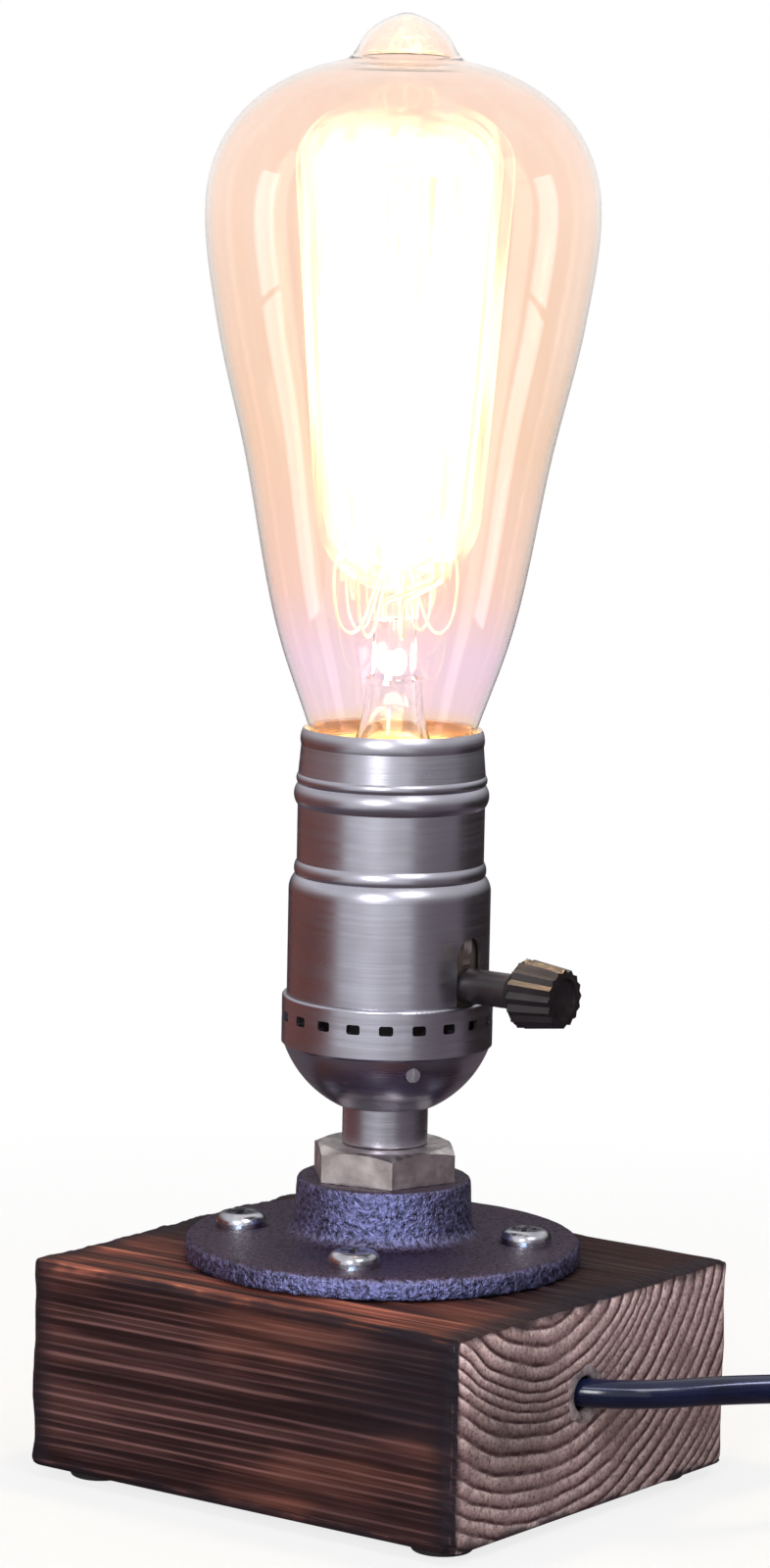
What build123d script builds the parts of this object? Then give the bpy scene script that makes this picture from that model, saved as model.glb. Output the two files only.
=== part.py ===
from build123d import *
import os
from math import atan2, cos, degrees, pi, radians, sin, sqrt, tan

os.makedirs("parts", exist_ok=True)

# All sizes are millimetres. The lamp stands on z = 0 with its bulb on the Z axis,
# and +X points out of the end-grain face that the cord leaves by.

# Clearances
FIT = 0.05  # radial room of a shaft, pin or thread in its hole
RUN = 0.35  # room round a turning piece

# Wood block and feet
FOOT_H = 2.0
FOOT_R = 5.0
FOOT_EDGE_R = 0.6
FOOT_INSET_X = 9.0
FOOT_INSET_Y = 9.0
BLOCK_X = 88.0
BLOCK_Y = 78.0
BLOCK_H = 35.0
BLOCK_CORNER_R = 3.0
BLOCK_EDGE_R = 1.2
CORD_HOLE_R = 4.2
CORD_HOLE_Y = -4.0
CORD_HOLE_H = 19.7  # above the underside of the block
WIRE_BORE_R = 7.0

# Pipe flange and its screws
FLANGE_R = 32.7
PLATE_RIM_T = 3.6
PLATE_T = 4.4
PLATE_EDGE_R = 1.2
FLANGE_H = 13.8
HUB_R = 14.4
HUB_DRAFT = 0.5
HUB_FILLET_R = 2.4
HUB_EDGE_R = 0.9
SCREW_PCD = 48.0
SCREW_TURN = 25.5
SCREW_COUNT = 4
SCREW_HEAD_R = 4.2
SCREW_HEAD_H = 2.6
SCREW_SHANK_R = 1.9
SCREW_LENGTH = 20.0
SCREW_POINT_H = 4.0
RECESS_L = 4.6
RECESS_W = 1.1
RECESS_DEPTH = 1.4

# Reducing bushing, threaded tube and neck
HEX_AF = 22.0
HEX_H = 5.5
HEX_TURN = 12.5
HEX_CHAMFER = 1.0
SPIGOT_R = 10.4
SPIGOT_H = 9.0
NIPPLE_R = 4.95
NIPPLE_BORE_R = 3.6
NIPPLE_LOW = 8.0  # below the top of the hub
NECK_R = 7.05
NECK_H = 6.6
NUT_AF = 13.0
NUT_H = 3.0
NIPPLE_STANDS = 1.3  # above the nut

# Lampholder cap
CAP_WALL = 0.7
CAP_H = 18.3
BAND_H = 8.5
BAND_R = 17.35
BAND_LIP_R = 0.5
BOWL_R = 16.9
BOWL_FLAT_R = 8.2
SLOT_COUNT = 20
SLOT_W = 2.3
SLOT_H = 1.6
SLOT_DROP = 3.3  # below the top of the band
CAP_SCREW_TURN = -37.8
CAP_SCREW_H = 7.5  # above the foot of the bowl
CAP_SCREW_R = 1.2
CAP_SCREW_L = 5.4
CAP_SCREW_END_R = 16.1
CAP_SCREW_SLOT = 0.4

# Lampholder shell
SHELL_WALL = 0.5
SHELL_LAP = 6.0
BARREL_H = 17.3  # of the widest part, above the cap
SHOULDER_H = 4.8
SHOULDER_CREASE_H = 2.5
SHOULDER_CREASE_R = 15.6
WAIST_R = 15.35
WAIST_H = 9.1
BEAD_H = 3.6
BEAD_BULGE = 0.65
BEAD_RIDGE_H = 1.6
RIDGE_BULGE = 0.3
COLLAR_H = 4.7
COLLAR_R = 14.95
RIM_H = 2.8
RIM_R = 14.6
KEY_SLOT_W = 6.4
KEY_SLOT_TOP = 11.0  # above the cap

# Switch core, contacts and wiring
CORE_R = 15.6
CORE_FLANGE_T = 1.6
CORE_DROP = 2.5  # below the shoulder of the shell
CORE_FLAT_Y = 11.4
CORE_FLAT_TOP = 1.4  # below the switch axis
POCKET_R = 9.0
POCKET_DEPTH = 4.0
POST_AT_R = 10.4
POST_R = 2.6
POST_H = 5.0
CHAMBER_X0 = 1.5
CHAMBER_X1 = 8.5
CHAMBER_Y = 5.5
CHAMBER_Z = 5.6
STRAP_W = 2.2
STRAP_T = 0.4
STRAP_LOW = 3.4  # above the switch axis
LINER_T = 0.4
LINER_GAP = 0.15
THREAD_WALL = 0.35
THREAD_SEAT_R = 10.0
THREAD_TOP_DROP = 1.3  # below the foot of the rim
CONTACT_W = 5.0
CONTACT_T = 0.4
CONTACT_FOOT = 6.0
CONTACT_REACH = 4.0
CONTACT_RISE = 2.2
PLATE_W = 6.0
PLATE_LOW = 8.2  # below the switch axis
PLATE_H = 6.0
PLATE_THICK = 0.8
TERMINAL_DROP = 5.0  # below the switch axis
TERMINAL_R = 1.5
TERMINAL_HEAD_R = 2.6
TERMINAL_HEAD_H = 1.8
TERMINAL_INNER_Y = 6.0
LEAD_R = 0.95
STRAND_R = 0.55
LEAD_SPLIT = 1.1
LEAD_RISE = 1.4
LEAD_TURN_RISE = 2.1
LEAD_BEND_R = 1.2

# Turn switch
SWITCH_H = 3.2  # axis above the cap
SHAFT_R = 1.5
SHAFT_INNER_X = -3.0
SHAFT_END_X = 23.0
ROTOR_SIDE = 7.0
ROTOR_CORNER_R = 1.2
ROTOR_END_ROOM = 0.6
SPRING_T = 0.35
SPRING_Y = 4.5
SPRING_BOW = 0.35
STEM_R = 2.85
KNOB_FOOT_X = 25.1
KNOB_WIDE_X = 27.7
KNOB_END_X = 35.3
KNOB_WIDE_R = 5.75
KNOB_END_R = 4.8
KNOB_RIBS = 16
RIB_DEPTH = 0.5
KNOB_DISH_R = 3.4
KNOB_DISH_DEPTH = 0.7

# Bulb
SCREW_BASE_R = 13.1
SCREW_BASE_WALL = 0.35
BASE_TOP_DROP = 4.1  # below the rim of the shell
BASE_STRAIGHT_H = 18.0
BASE_CONE_H = 4.3
BASE_CONE_R = 8.3
BASE_HOLE_R = 5.4
TIP_R = 4.2
TIP_H = 1.4
TIP_PIN_R = 1.5
TIP_PIN_H = 2.4
TIP_ROOM = 0.3
GLASS_T = 0.8
GLASS_NECK_R = 12.4
GLASS_NECK_DROP = 9.0
GLASS_SIDE = [(13.75, 0.0), (18.5, 13.6), (25.1, 45.4), (29.9, 66.4)]  # radius, height above the rim
GLASS_R = 32.0
GLASS_WIDE_H = 83.3
GLASS_TOP_H = 25.6  # crown above the widest place
CROWN_POWER = 2.25  # 2 is an ellipse, more is fuller
CROWN_RADII = [29.0, 17.7]
NUB_FOOT_R = 9.6
NUB_SIDE = [(6.1, 4.7), (2.4, 6.9)]  # radius, height above the foot of the nub
CROWN_ENDS = (-1.0, 0.2)  # directions where the crown meets the nub
NUB_LEAVES = (-0.5, 1.0)
NUB_TOP_H = 7.5
FLARE_R = 11.55
FLARE_DROP = 7.5
FLARE_WALL = 0.9
FLARE_LEAVES = (-1.0, 0.5)  # direction at the foot of the flare
FLARE_TOP_R = 4.6
FLARE_TOP_H = 8.4
PRESS_W = 9.2
PRESS_T = 4.0
PRESS_TOP_H = 18.0
ROD_R = 1.7
BUTTON_R = 2.5
FILAMENT_R = 0.4
FILAMENT_LOOPS = 8
FILAMENT_LOW_H = 28.0
FILAMENT_TOP_H = 7.7  # above the widest place of the glass
FILAMENT_LOW_R = 9.0
FILAMENT_TOP_R = 12.5
HAIRPIN_W = 1.6
HOOK_R = 0.3
HOOK_STANDS = 1.0
LEAD_WIRE_R = 0.45
LEAD_WIRE_AT = 3.2
LEAD_END_TURN = 8.0
LEAD_WIRE_RISE = 3.0

# Cord, its coil and its plug
CORD_R = 2.35
CORD_ROUTE = [
    (24.0, -5.6, 21.7),
    (34.0, -5.6, 21.7),
    (44.0, -3.4, 21.7),
    (52.5, 2.6, 21.7),
    (59.0, 12.6, 21.7),
    (64.2, 25.5, 20.4),
    (67.6, 38.3, 18.9),
    (71.2, 50.2, 19.1),
    (74.5, 59.4, 19.1),
]
CORD_INSIDE = [(19.0, -5.6, 21.7), (0.0, -2.6, 21.7), (0.0, 0.0, 46.0)]
SHEATH_STANDS = 2.0  # above the threaded tube
COIL_R = 32.0
COIL_PITCH = 5.25
COIL_LAYER_H = 5.25
COIL_LAYERS = 4
COIL_LAYER_QUARTERS = 8
CLIMB_STEEPNESS = 1.4
TIE_T = 0.7
TIE_W = 6.0
TIE_ROOM = 0.3
TIE_TURN = 63.0  # round the coil from its start
TAIL_STEPS = [(8.0, 0.0, 0.0), (16.0, 0.8, 1.8), (24.0, 1.2, 3.65), (30.0, 1.2, 3.65)]
PLUG_BOOT_R = 3.4
PLUG_BOOT_L = 11.0
PLUG_WAIST_R = 4.6
PLUG_L = 24.0
PLUG_W = 22.0
PLUG_TAPER_L = 11.0
PLUG_CORNER_R = 4.0
BLADE_L = 16.0
BLADE_W = 6.3
BLADE_T = 1.5
BLADE_SPACING = 12.7
BLADE_HOLE_R = 1.6
BLADE_HOLE_DROP = 4.0

# Levels of the stack, from the floor up
block_top = FOOT_H + BLOCK_H
hub_top = block_top + FLANGE_H
hex_top = hub_top + HEX_H
neck_top = hex_top + NECK_H
cap_top = neck_top + CAP_H
band_low = cap_top - BAND_H
shell_low = cap_top - SHELL_LAP
shoulder_z = cap_top + BARREL_H
waist_low = shoulder_z + SHOULDER_H
waist_top = waist_low + WAIST_H
bead_top = waist_top + BEAD_H
ridge_top = bead_top + BEAD_RIDGE_H
rim_low = ridge_top + COLLAR_H
rim_top = rim_low + RIM_H
switch_z = cap_top + SWITCH_H
core_low = shell_low - CORE_FLANGE_T
core_top = shoulder_z - CORE_DROP
nut_low = neck_top + CAP_WALL
nipple_top = nut_low + NUT_H + NIPPLE_STANDS
barrel_r = BAND_R - CAP_WALL - FIT
cord_hole_z = FOOT_H + CORD_HOLE_H
thread_r = SCREW_BASE_R + RUN
thread_top = rim_low - THREAD_TOP_DROP
contact_z = core_top - POCKET_DEPTH
tip_low = contact_z + CONTACT_RISE + CONTACT_T + TIP_ROOM
tip_top = tip_low + TIP_H
base_top = rim_top - BASE_TOP_DROP
base_cone_top = base_top - BASE_STRAIGHT_H
base_low = base_cone_top - BASE_CONE_H

terminal_z = switch_z - TERMINAL_DROP
terminal_head_y = CORE_FLAT_Y + PLATE_THICK + 2 * STRAND_R + 2 * FIT
rotor_l = CHAMBER_X1 - CHAMBER_X0 - 2 * ROTOR_END_ROOM
cap_screw_z = neck_top + CAP_SCREW_H

# Work planes: the radial section has the radius along x and the height along y
SECTION = Plane.XZ
SWITCH_PLANE = Plane(origin=(0, 0, switch_z), x_dir=(0, 1, 0), z_dir=(1, 0, 0))
cap_screw_out = (cos(radians(CAP_SCREW_TURN)), sin(radians(CAP_SCREW_TURN)), 0)
CAP_SCREW_PLANE = Plane(origin=(0, 0, cap_screw_z), x_dir=(0, 0, 1), z_dir=cap_screw_out)


def keep(piece, name):
    """Label a finished piece and write it under its own name."""
    piece.part.label = name
    export_step(piece.part, f"parts/{name}.step")


def route_radii(points):
    """The bend radius at each inner point of a cord's route."""
    corners = [Vector(*p) for p in points]
    radii = []
    for before, at, after in zip(corners, corners[1:], corners[2:]):
        turn = radians((at - before).get_angle(after - at))
        shorter = min((at - before).length, (after - at).length)
        radii.append(0.45 * shorter / tan(turn / 2))
    return radii


def bulging_arc(start, end, bulge):
    """An arc in the section plane that swells outwards by bulge between two points."""
    start, end = Vector(start), Vector(end)
    outward = Vector(end.Y - start.Y, start.X - end.X).normalized()
    return ThreePointArc(start, (start + end) / 2 + outward * bulge, end)


def crown_point(radius, reach, rise):
    """A point of a crown that starts at reach, at the widest place of the glass, and climbs by rise."""
    share = (1 - (radius / reach) ** CROWN_POWER) ** (1 / CROWN_POWER)
    return (radius, GLASS_WIDE_H + rise * share)


def ribbed_outline(radius):
    """Points of a knob's outline, alternately on its ribs and in its grooves."""
    points = []
    for step in range(2 * KNOB_RIBS):
        reach = radius - RIB_DEPTH * (step % 2)
        angle = pi * step / KNOB_RIBS
        points.append((reach * cos(angle), reach * sin(angle)))
    return points


def ring_point(radius, angle, height, aside=0.0):
    """A point on a ring round the Z axis, moved aside along the ring's tangent."""
    return (
        radius * cos(angle) - aside * sin(angle),
        radius * sin(angle) + aside * cos(angle),
        height,
    )


def hairpin(radius, angle, height):
    """The two corners of a filament loop that hangs on one hook."""
    return [ring_point(radius, angle, height, side * HAIRPIN_W / 2) for side in (-1, 1)]


def coil_place(quarter):
    """Centre of the coiled cord and its direction after so many quarter turns, clockwise from above."""
    layer, step = divmod(quarter, COIL_LAYER_QUARTERS + 2)
    inward = 1 if layer % 2 == 0 else -1
    layer_start = COIL_R if inward == 1 else COIL_R - COIL_PITCH * COIL_LAYER_QUARTERS / 4
    radius = layer_start - inward * COIL_PITCH * step / 4
    angle = start_angle - quarter * pi / 2
    height = coil_start.Z - layer * COIL_LAYER_H
    climbing = step > COIL_LAYER_QUARTERS
    if climbing:
        height -= COIL_LAYER_H / 2
    arm = Vector(cos(angle), sin(angle), 0)
    along = Vector(sin(angle), -cos(angle), 0) * radius
    if climbing:
        along -= Vector(0, 0, CLIMB_STEEPNESS * COIL_LAYER_H / pi)
    else:
        along -= arm * inward * coil_slope
    return coil_centre + arm * radius + Vector(0, 0, height - coil_centre.Z), along.normalized()


def biarc(start, leaving, end, arriving):
    """Draw two tangent arcs that leave start and reach end in the given directions."""
    chord = end - start
    both = leaving + arriving
    spread = 2 * (1 - leaving.dot(arriving))
    reach = (sqrt(chord.dot(both) ** 2 + spread * chord.dot(chord)) - chord.dot(both)) / spread
    meet = (start + end + (leaving - arriving) * reach) / 2
    TangentArc(start, meet, tangent=leaving)
    TangentArc(meet, end, tangent=end - arriving * reach - meet)


def least_gap(path, radius):
    """Least room between stretches of a coiled tube that lie half a turn or more apart."""
    step = radius
    count = int(path.length / step)
    points = [tuple(path.position_at(i / count)) for i in range(count + 1)]
    apart = int(pi * COIL_R / 2 / step)
    least = min(
        (a[0] - b[0]) ** 2 + (a[1] - b[1]) ** 2 + (a[2] - b[2]) ** 2
        for i, a in enumerate(points)
        for b in points[i + apart :]
    )
    return sqrt(least) - 2 * radius


def report_tube(name, piece, path, radius):
    """Print a tube's length and its volume against section times length."""
    length = path.length
    ratio = piece.part.volume / (pi * radius**2 * length)
    print(f"{name}: {length:.1f} mm long, volume over section times length {ratio:.4f}")


# Wood block: drilled along X for the cord and down from the top for the wires
with BuildPart() as base_block:
    with BuildSketch(Plane.XY.offset(FOOT_H)):
        RectangleRounded(BLOCK_X, BLOCK_Y, BLOCK_CORNER_R)
    extrude(amount=BLOCK_H)
    fillet(base_block.faces().sort_by(Axis.Z)[-1].edges(), BLOCK_EDGE_R)
    fillet(base_block.faces().sort_by(Axis.Z)[0].edges(), BLOCK_EDGE_R)
    with BuildSketch(Plane.YZ.offset(BLOCK_X / 2)):
        with Locations((CORD_HOLE_Y, cord_hole_z)):
            Circle(CORD_HOLE_R)
    extrude(amount=-BLOCK_X / 2 - WIRE_BORE_R, mode=Mode.SUBTRACT)
    with BuildSketch(Plane.XY.offset(block_top)):
        Circle(WIRE_BORE_R)
    extrude(amount=cord_hole_z - CORD_HOLE_R - block_top, mode=Mode.SUBTRACT)
    with BuildSketch(Plane.XY.offset(block_top)):
        with PolarLocations(SCREW_PCD / 2, SCREW_COUNT, start_angle=SCREW_TURN):
            Circle(SCREW_SHANK_R + FIT)
    extrude(amount=PLATE_T - SCREW_LENGTH - FIT, mode=Mode.SUBTRACT)
keep(base_block, "base_block")

with BuildPart() as rubber_feet:
    with BuildSketch():
        with GridLocations(BLOCK_X - 2 * FOOT_INSET_X, BLOCK_Y - 2 * FOOT_INSET_Y, 2, 2):
            Circle(FOOT_R)
    extrude(amount=FOOT_H)
    fillet(rubber_feet.edges().group_by(Axis.Z)[0], FOOT_EDGE_R)
keep(rubber_feet, "rubber_feet")

# Floor flange: a plate that rises a little to a drafted hub
with BuildPart() as pipe_flange:
    with BuildSketch(SECTION):
        with BuildLine():
            top = FilletPolyline(
                (FLANGE_R, block_top),
                (FLANGE_R, block_top + PLATE_RIM_T),
                (HUB_R + HUB_DRAFT, block_top + PLATE_T),
                (HUB_R, hub_top),
                (SPIGOT_R + FIT, hub_top),
                radius=[PLATE_EDGE_R, HUB_FILLET_R, HUB_EDGE_R],
            )
            Polyline(top @ 1, (SPIGOT_R + FIT, block_top), top @ 0)
        make_face()
    revolve(axis=Axis.Z)
    with BuildSketch(Plane.XY.offset(block_top)):
        with PolarLocations(SCREW_PCD / 2, SCREW_COUNT, start_angle=SCREW_TURN):
            Circle(SCREW_SHANK_R + 4 * FIT)
    extrude(amount=PLATE_T, mode=Mode.SUBTRACT)
    with BuildSketch(Plane.XY.offset(block_top + PLATE_T)):
        with PolarLocations(SCREW_PCD / 2, SCREW_COUNT, start_angle=SCREW_TURN):
            Circle(SCREW_HEAD_R + 2 * FIT)
    extrude(amount=PLATE_RIM_T - PLATE_T, mode=Mode.SUBTRACT)
keep(pipe_flange, "pipe_flange")

# Flange screws: domed cross-recessed heads in shallow spot faces
screw_seat = block_top + PLATE_RIM_T
screw_places = PolarLocations(SCREW_PCD / 2, SCREW_COUNT, start_angle=SCREW_TURN).locations
with BuildPart() as flange_screws:
    for place in screw_places:
        with BuildSketch(Plane(place).offset(screw_seat)):
            Circle(SCREW_HEAD_R)
        extrude(amount=SCREW_HEAD_H)
    fillet(flange_screws.edges().group_by(Axis.Z)[-1], SCREW_HEAD_H * 0.6)
    for place in screw_places:
        with BuildSketch(Plane(place).offset(screw_seat)):
            Circle(SCREW_SHANK_R)
        extrude(amount=SCREW_POINT_H - SCREW_LENGTH)
        with BuildSketch(Plane(place).offset(screw_seat + SCREW_POINT_H - SCREW_LENGTH)):
            Circle(SCREW_SHANK_R)
        extrude(amount=-SCREW_POINT_H + SCREW_SHANK_R, taper=22)
        with BuildSketch(Plane(place).offset(screw_seat + SCREW_HEAD_H)):
            Rectangle(RECESS_L, RECESS_W)
            Rectangle(RECESS_W, RECESS_L)
        extrude(amount=-RECESS_DEPTH, mode=Mode.SUBTRACT)
keep(flange_screws, "flange_screws")

# Reducing bushing: a hexagon on a round spigot that screws into the hub
with BuildPart() as hex_bushing:
    with BuildSketch(Plane.XY.offset(hub_top)):
        RegularPolygon(HEX_AF / 2, 6, major_radius=False, rotation=HEX_TURN)
    extrude(amount=HEX_H)
    corner_r = HEX_AF / 2 / cos(pi / 6)
    with BuildSketch(SECTION):
        with BuildLine():
            Polyline(
                (HEX_AF / 2 - HEX_CHAMFER / 2, hex_top),
                (corner_r + HEX_CHAMFER, hex_top),
                (corner_r + HEX_CHAMFER, hex_top - HEX_CHAMFER * 1.5),
                close=True,
            )
        make_face()
    revolve(axis=Axis.Z, mode=Mode.SUBTRACT)
    with BuildSketch(Plane.XY.offset(hub_top)):
        Circle(SPIGOT_R)
    extrude(amount=-SPIGOT_H)
    with BuildSketch(Plane.XY.offset(hub_top - SPIGOT_H)):
        Circle(NIPPLE_R + FIT)
    extrude(amount=SPIGOT_H + HEX_H, mode=Mode.SUBTRACT)
keep(hex_bushing, "hex_bushing")

with BuildPart() as threaded_nipple:
    with BuildSketch(Plane.XY.offset(hub_top - NIPPLE_LOW)):
        Circle(NIPPLE_R)
        Circle(NIPPLE_BORE_R, mode=Mode.SUBTRACT)
    extrude(amount=nipple_top - hub_top + NIPPLE_LOW)
keep(threaded_nipple, "threaded_nipple")

with BuildPart() as nipple_nut:
    with BuildSketch(Plane.XY.offset(nut_low)):
        RegularPolygon(NUT_AF / 2, 6, major_radius=False)
        Circle(NIPPLE_R + FIT, mode=Mode.SUBTRACT)
    extrude(amount=NUT_H)
keep(nipple_nut, "nipple_nut")

with BuildPart() as cap_neck:
    with BuildSketch(Plane.XY.offset(hex_top)):
        Circle(NECK_R)
        Circle(NIPPLE_R + FIT, mode=Mode.SUBTRACT)
    extrude(amount=NECK_H)
    fillet(cap_neck.edges().group_by(Axis.Z)[0].sort_by(SortBy.RADIUS)[-1], BAND_LIP_R)
keep(cap_neck, "cap_neck")

# Cap: a spun round bowl with a straight band, pierced by a row of slots
bowl_rise = band_low - neck_top
bowl_centre_z = neck_top + (BOWL_R**2 - BOWL_FLAT_R**2 + bowl_rise**2) / (2 * bowl_rise)
bowl_mid_z = (neck_top + band_low) / 2
bowl_mid_r = sqrt(BOWL_R**2 + (bowl_centre_z - band_low) ** 2 - (bowl_centre_z - bowl_mid_z) ** 2)
with BuildPart() as socket_cap:
    with BuildSketch(SECTION):
        with BuildLine() as cap_line:
            floor = Line((NIPPLE_R + FIT, neck_top), (BOWL_FLAT_R, neck_top))
            bowl = ThreePointArc(floor @ 1, (bowl_mid_r, bowl_mid_z), (BOWL_R, band_low))
            Polyline(bowl @ 1, (BAND_R, band_low + BAND_R - BOWL_R), (BAND_R, cap_top))
            offset(amount=CAP_WALL, side=Side.LEFT)
        make_face()
    revolve(axis=Axis.Z)
    fillet(socket_cap.edges().group_by(Axis.Z)[-1].sort_by(SortBy.RADIUS)[-1], BAND_LIP_R)
    for place in PolarLocations(0, SLOT_COUNT):
        with BuildSketch(Plane(place) * Plane.YZ.offset(BAND_R + CAP_WALL)):
            with Locations((0, cap_top - SLOT_DROP)):
                RectangleRounded(SLOT_W, SLOT_H, SLOT_H / 4)
        extrude(amount=-3 * CAP_WALL, mode=Mode.SUBTRACT)
    with BuildSketch(CAP_SCREW_PLANE.offset(BAND_R)):
        Circle(CAP_SCREW_R + FIT)
    extrude(amount=-BAND_R / 2, mode=Mode.SUBTRACT)
keep(socket_cap, "socket_cap")

with BuildPart() as cap_screw:
    with BuildSketch(CAP_SCREW_PLANE.offset(CAP_SCREW_END_R)):
        Circle(CAP_SCREW_R)
    extrude(amount=-CAP_SCREW_L)
    with BuildSketch(CAP_SCREW_PLANE.offset(CAP_SCREW_END_R)):
        Rectangle(2 * CAP_SCREW_R, CAP_SCREW_SLOT)
    extrude(amount=-CAP_SCREW_SLOT, mode=Mode.SUBTRACT)
keep(cap_screw, "cap_screw")

# Shell: a drawn tube with a shoulder, two beads and a rolled rim, slotted for the switch stem
with BuildPart() as socket_shell:
    with BuildSketch(SECTION):
        with BuildLine():
            barrel = Line((barrel_r, shell_low), (barrel_r, shoulder_z))
            crease = (SHOULDER_CREASE_R, shoulder_z + SHOULDER_CREASE_H)
            TangentArc(barrel @ 1, crease, tangent=(0, 1))
            ledge = bulging_arc(crease, (WAIST_R, waist_low), RIDGE_BULGE)
            waist = Line(ledge @ 1, (WAIST_R, waist_top))
            bead = bulging_arc(waist @ 1, (WAIST_R, bead_top), BEAD_BULGE)
            ridge = bulging_arc(bead @ 1, (WAIST_R, ridge_top), RIDGE_BULGE)
            collar = Line(ridge @ 1, (COLLAR_R, rim_low))
            bulging_arc(collar @ 1, (RIM_R, rim_top), RIDGE_BULGE)
            offset(amount=SHELL_WALL, side=Side.LEFT)
        make_face()
    revolve(axis=Axis.Z)
    key_slot_round_z = cap_top + KEY_SLOT_TOP - KEY_SLOT_W / 2
    with BuildSketch(Plane.YZ):
        with Locations((0, key_slot_round_z)):
            Circle(KEY_SLOT_W / 2)
            Rectangle(KEY_SLOT_W, key_slot_round_z - shell_low, align=(Align.CENTER, Align.MAX))
    extrude(amount=BAND_R, mode=Mode.SUBTRACT)
keep(socket_shell, "socket_shell")

# Switch core: two insulating halves that part at the switch axis, hollowed for shaft and rotor
with BuildPart() as switch_hollow:
    with BuildSketch(SWITCH_PLANE.offset(CHAMBER_X0)):
        Rectangle(2 * CHAMBER_Y, 2 * CHAMBER_Z)
    extrude(amount=CHAMBER_X1 - CHAMBER_X0)
    with BuildSketch(SWITCH_PLANE.offset(SHAFT_INNER_X - FIT)):
        Circle(SHAFT_R + FIT)
    extrude(amount=BAND_R - SHAFT_INNER_X)

with BuildPart() as core_lower:
    with BuildSketch(Plane.XY.offset(core_low)):
        Circle(barrel_r - FIT)
    extrude(amount=CORE_FLANGE_T)
    with BuildSketch(Plane.XY.offset(shell_low)):
        Circle(CORE_R)
    extrude(amount=switch_z - shell_low)
    with BuildSketch(Plane.XY.offset(core_low)):
        with GridLocations(0, 2 * CORE_FLAT_Y + BAND_R, 1, 2):
            Rectangle(2 * BAND_R, BAND_R)
    extrude(amount=switch_z - CORE_FLAT_TOP - core_low, mode=Mode.SUBTRACT)
    with BuildSketch(Plane.XY.offset(core_low)):
        with PolarLocations(POST_AT_R, 1, start_angle=CAP_SCREW_TURN):
            Circle(POST_R)
    extrude(amount=-POST_H)
    with BuildSketch(CAP_SCREW_PLANE.offset(CAP_SCREW_END_R)):
        Circle(CAP_SCREW_R + FIT)
    extrude(amount=-CAP_SCREW_L, mode=Mode.SUBTRACT)
    add(switch_hollow.part, mode=Mode.SUBTRACT)
    with BuildSketch(Plane.XZ.offset(-CORE_FLAT_Y)):
        with Locations((0, terminal_z)):
            Circle(TERMINAL_R + FIT)
    extrude(amount=CORE_FLAT_Y - TERMINAL_INNER_Y, mode=Mode.SUBTRACT)
    with BuildSketch(Plane.XZ.offset(CORE_FLAT_Y)):
        with Locations((0, terminal_z)):
            Circle(TERMINAL_R + FIT)
    extrude(amount=TERMINAL_INNER_Y - CORE_FLAT_Y, mode=Mode.SUBTRACT)
keep(core_lower, "core_lower")

with BuildPart() as core_upper:
    with BuildSketch(Plane.XY.offset(switch_z)):
        Circle(CORE_R)
    extrude(amount=core_top - switch_z)
    with BuildSketch(Plane.XY.offset(core_top)):
        Circle(POCKET_R)
    extrude(amount=-POCKET_DEPTH, mode=Mode.SUBTRACT)
    add(switch_hollow.part, mode=Mode.SUBTRACT)
keep(core_upper, "core_upper")

# Strip that ties the core to the lamp thread and shows in the key slot
with BuildPart() as core_strap:
    with BuildSketch(Plane.XZ.offset(-STRAP_W / 2)):
        with BuildLine():
            Polyline(
                (CORE_R, switch_z + STRAP_LOW),
                (CORE_R, core_top),
                (thread_r + THREAD_WALL + FIT, core_top),
                (thread_r + THREAD_WALL + FIT, core_top + STRAP_T),
                (CORE_R + STRAP_T, core_top + STRAP_T),
                (CORE_R + STRAP_T, switch_z + STRAP_LOW),
                close=True,
            )
        make_face()
    extrude(amount=STRAP_W)
keep(core_strap, "core_strap")

# Lamp thread: a plain sleeve with a seat ring, inside an insulating sleeve
with BuildPart() as screw_shell:
    with BuildSketch(Plane.XY.offset(core_top)):
        Circle(thread_r + THREAD_WALL)
        Circle(THREAD_SEAT_R, mode=Mode.SUBTRACT)
    extrude(amount=THREAD_WALL)
    with BuildSketch(Plane.XY.offset(core_top)):
        Circle(thread_r + THREAD_WALL)
        Circle(thread_r, mode=Mode.SUBTRACT)
    extrude(amount=thread_top - core_top)
keep(screw_shell, "screw_shell")

liner_r = thread_r + THREAD_WALL + LINER_GAP
liner_low = core_top + STRAP_T + FIT
with BuildPart() as shell_liner:
    with BuildSketch(Plane.XY.offset(liner_low)):
        Circle(liner_r + LINER_T)
        Circle(liner_r, mode=Mode.SUBTRACT)
    extrude(amount=rim_low - liner_low)
keep(shell_liner, "shell_liner")

with BuildPart() as centre_contact:
    with BuildSketch(Plane.XZ.offset(-CONTACT_W / 2)):
        with BuildLine():
            Polyline(
                (-CONTACT_FOOT, contact_z),
                (0, contact_z),
                (CONTACT_REACH, contact_z + CONTACT_RISE),
                (CONTACT_REACH, contact_z + CONTACT_RISE + CONTACT_T),
                (0, contact_z + CONTACT_T),
                (-CONTACT_FOOT, contact_z + CONTACT_T),
                close=True,
            )
        make_face()
    extrude(amount=CONTACT_W)
keep(centre_contact, "centre_contact")

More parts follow.
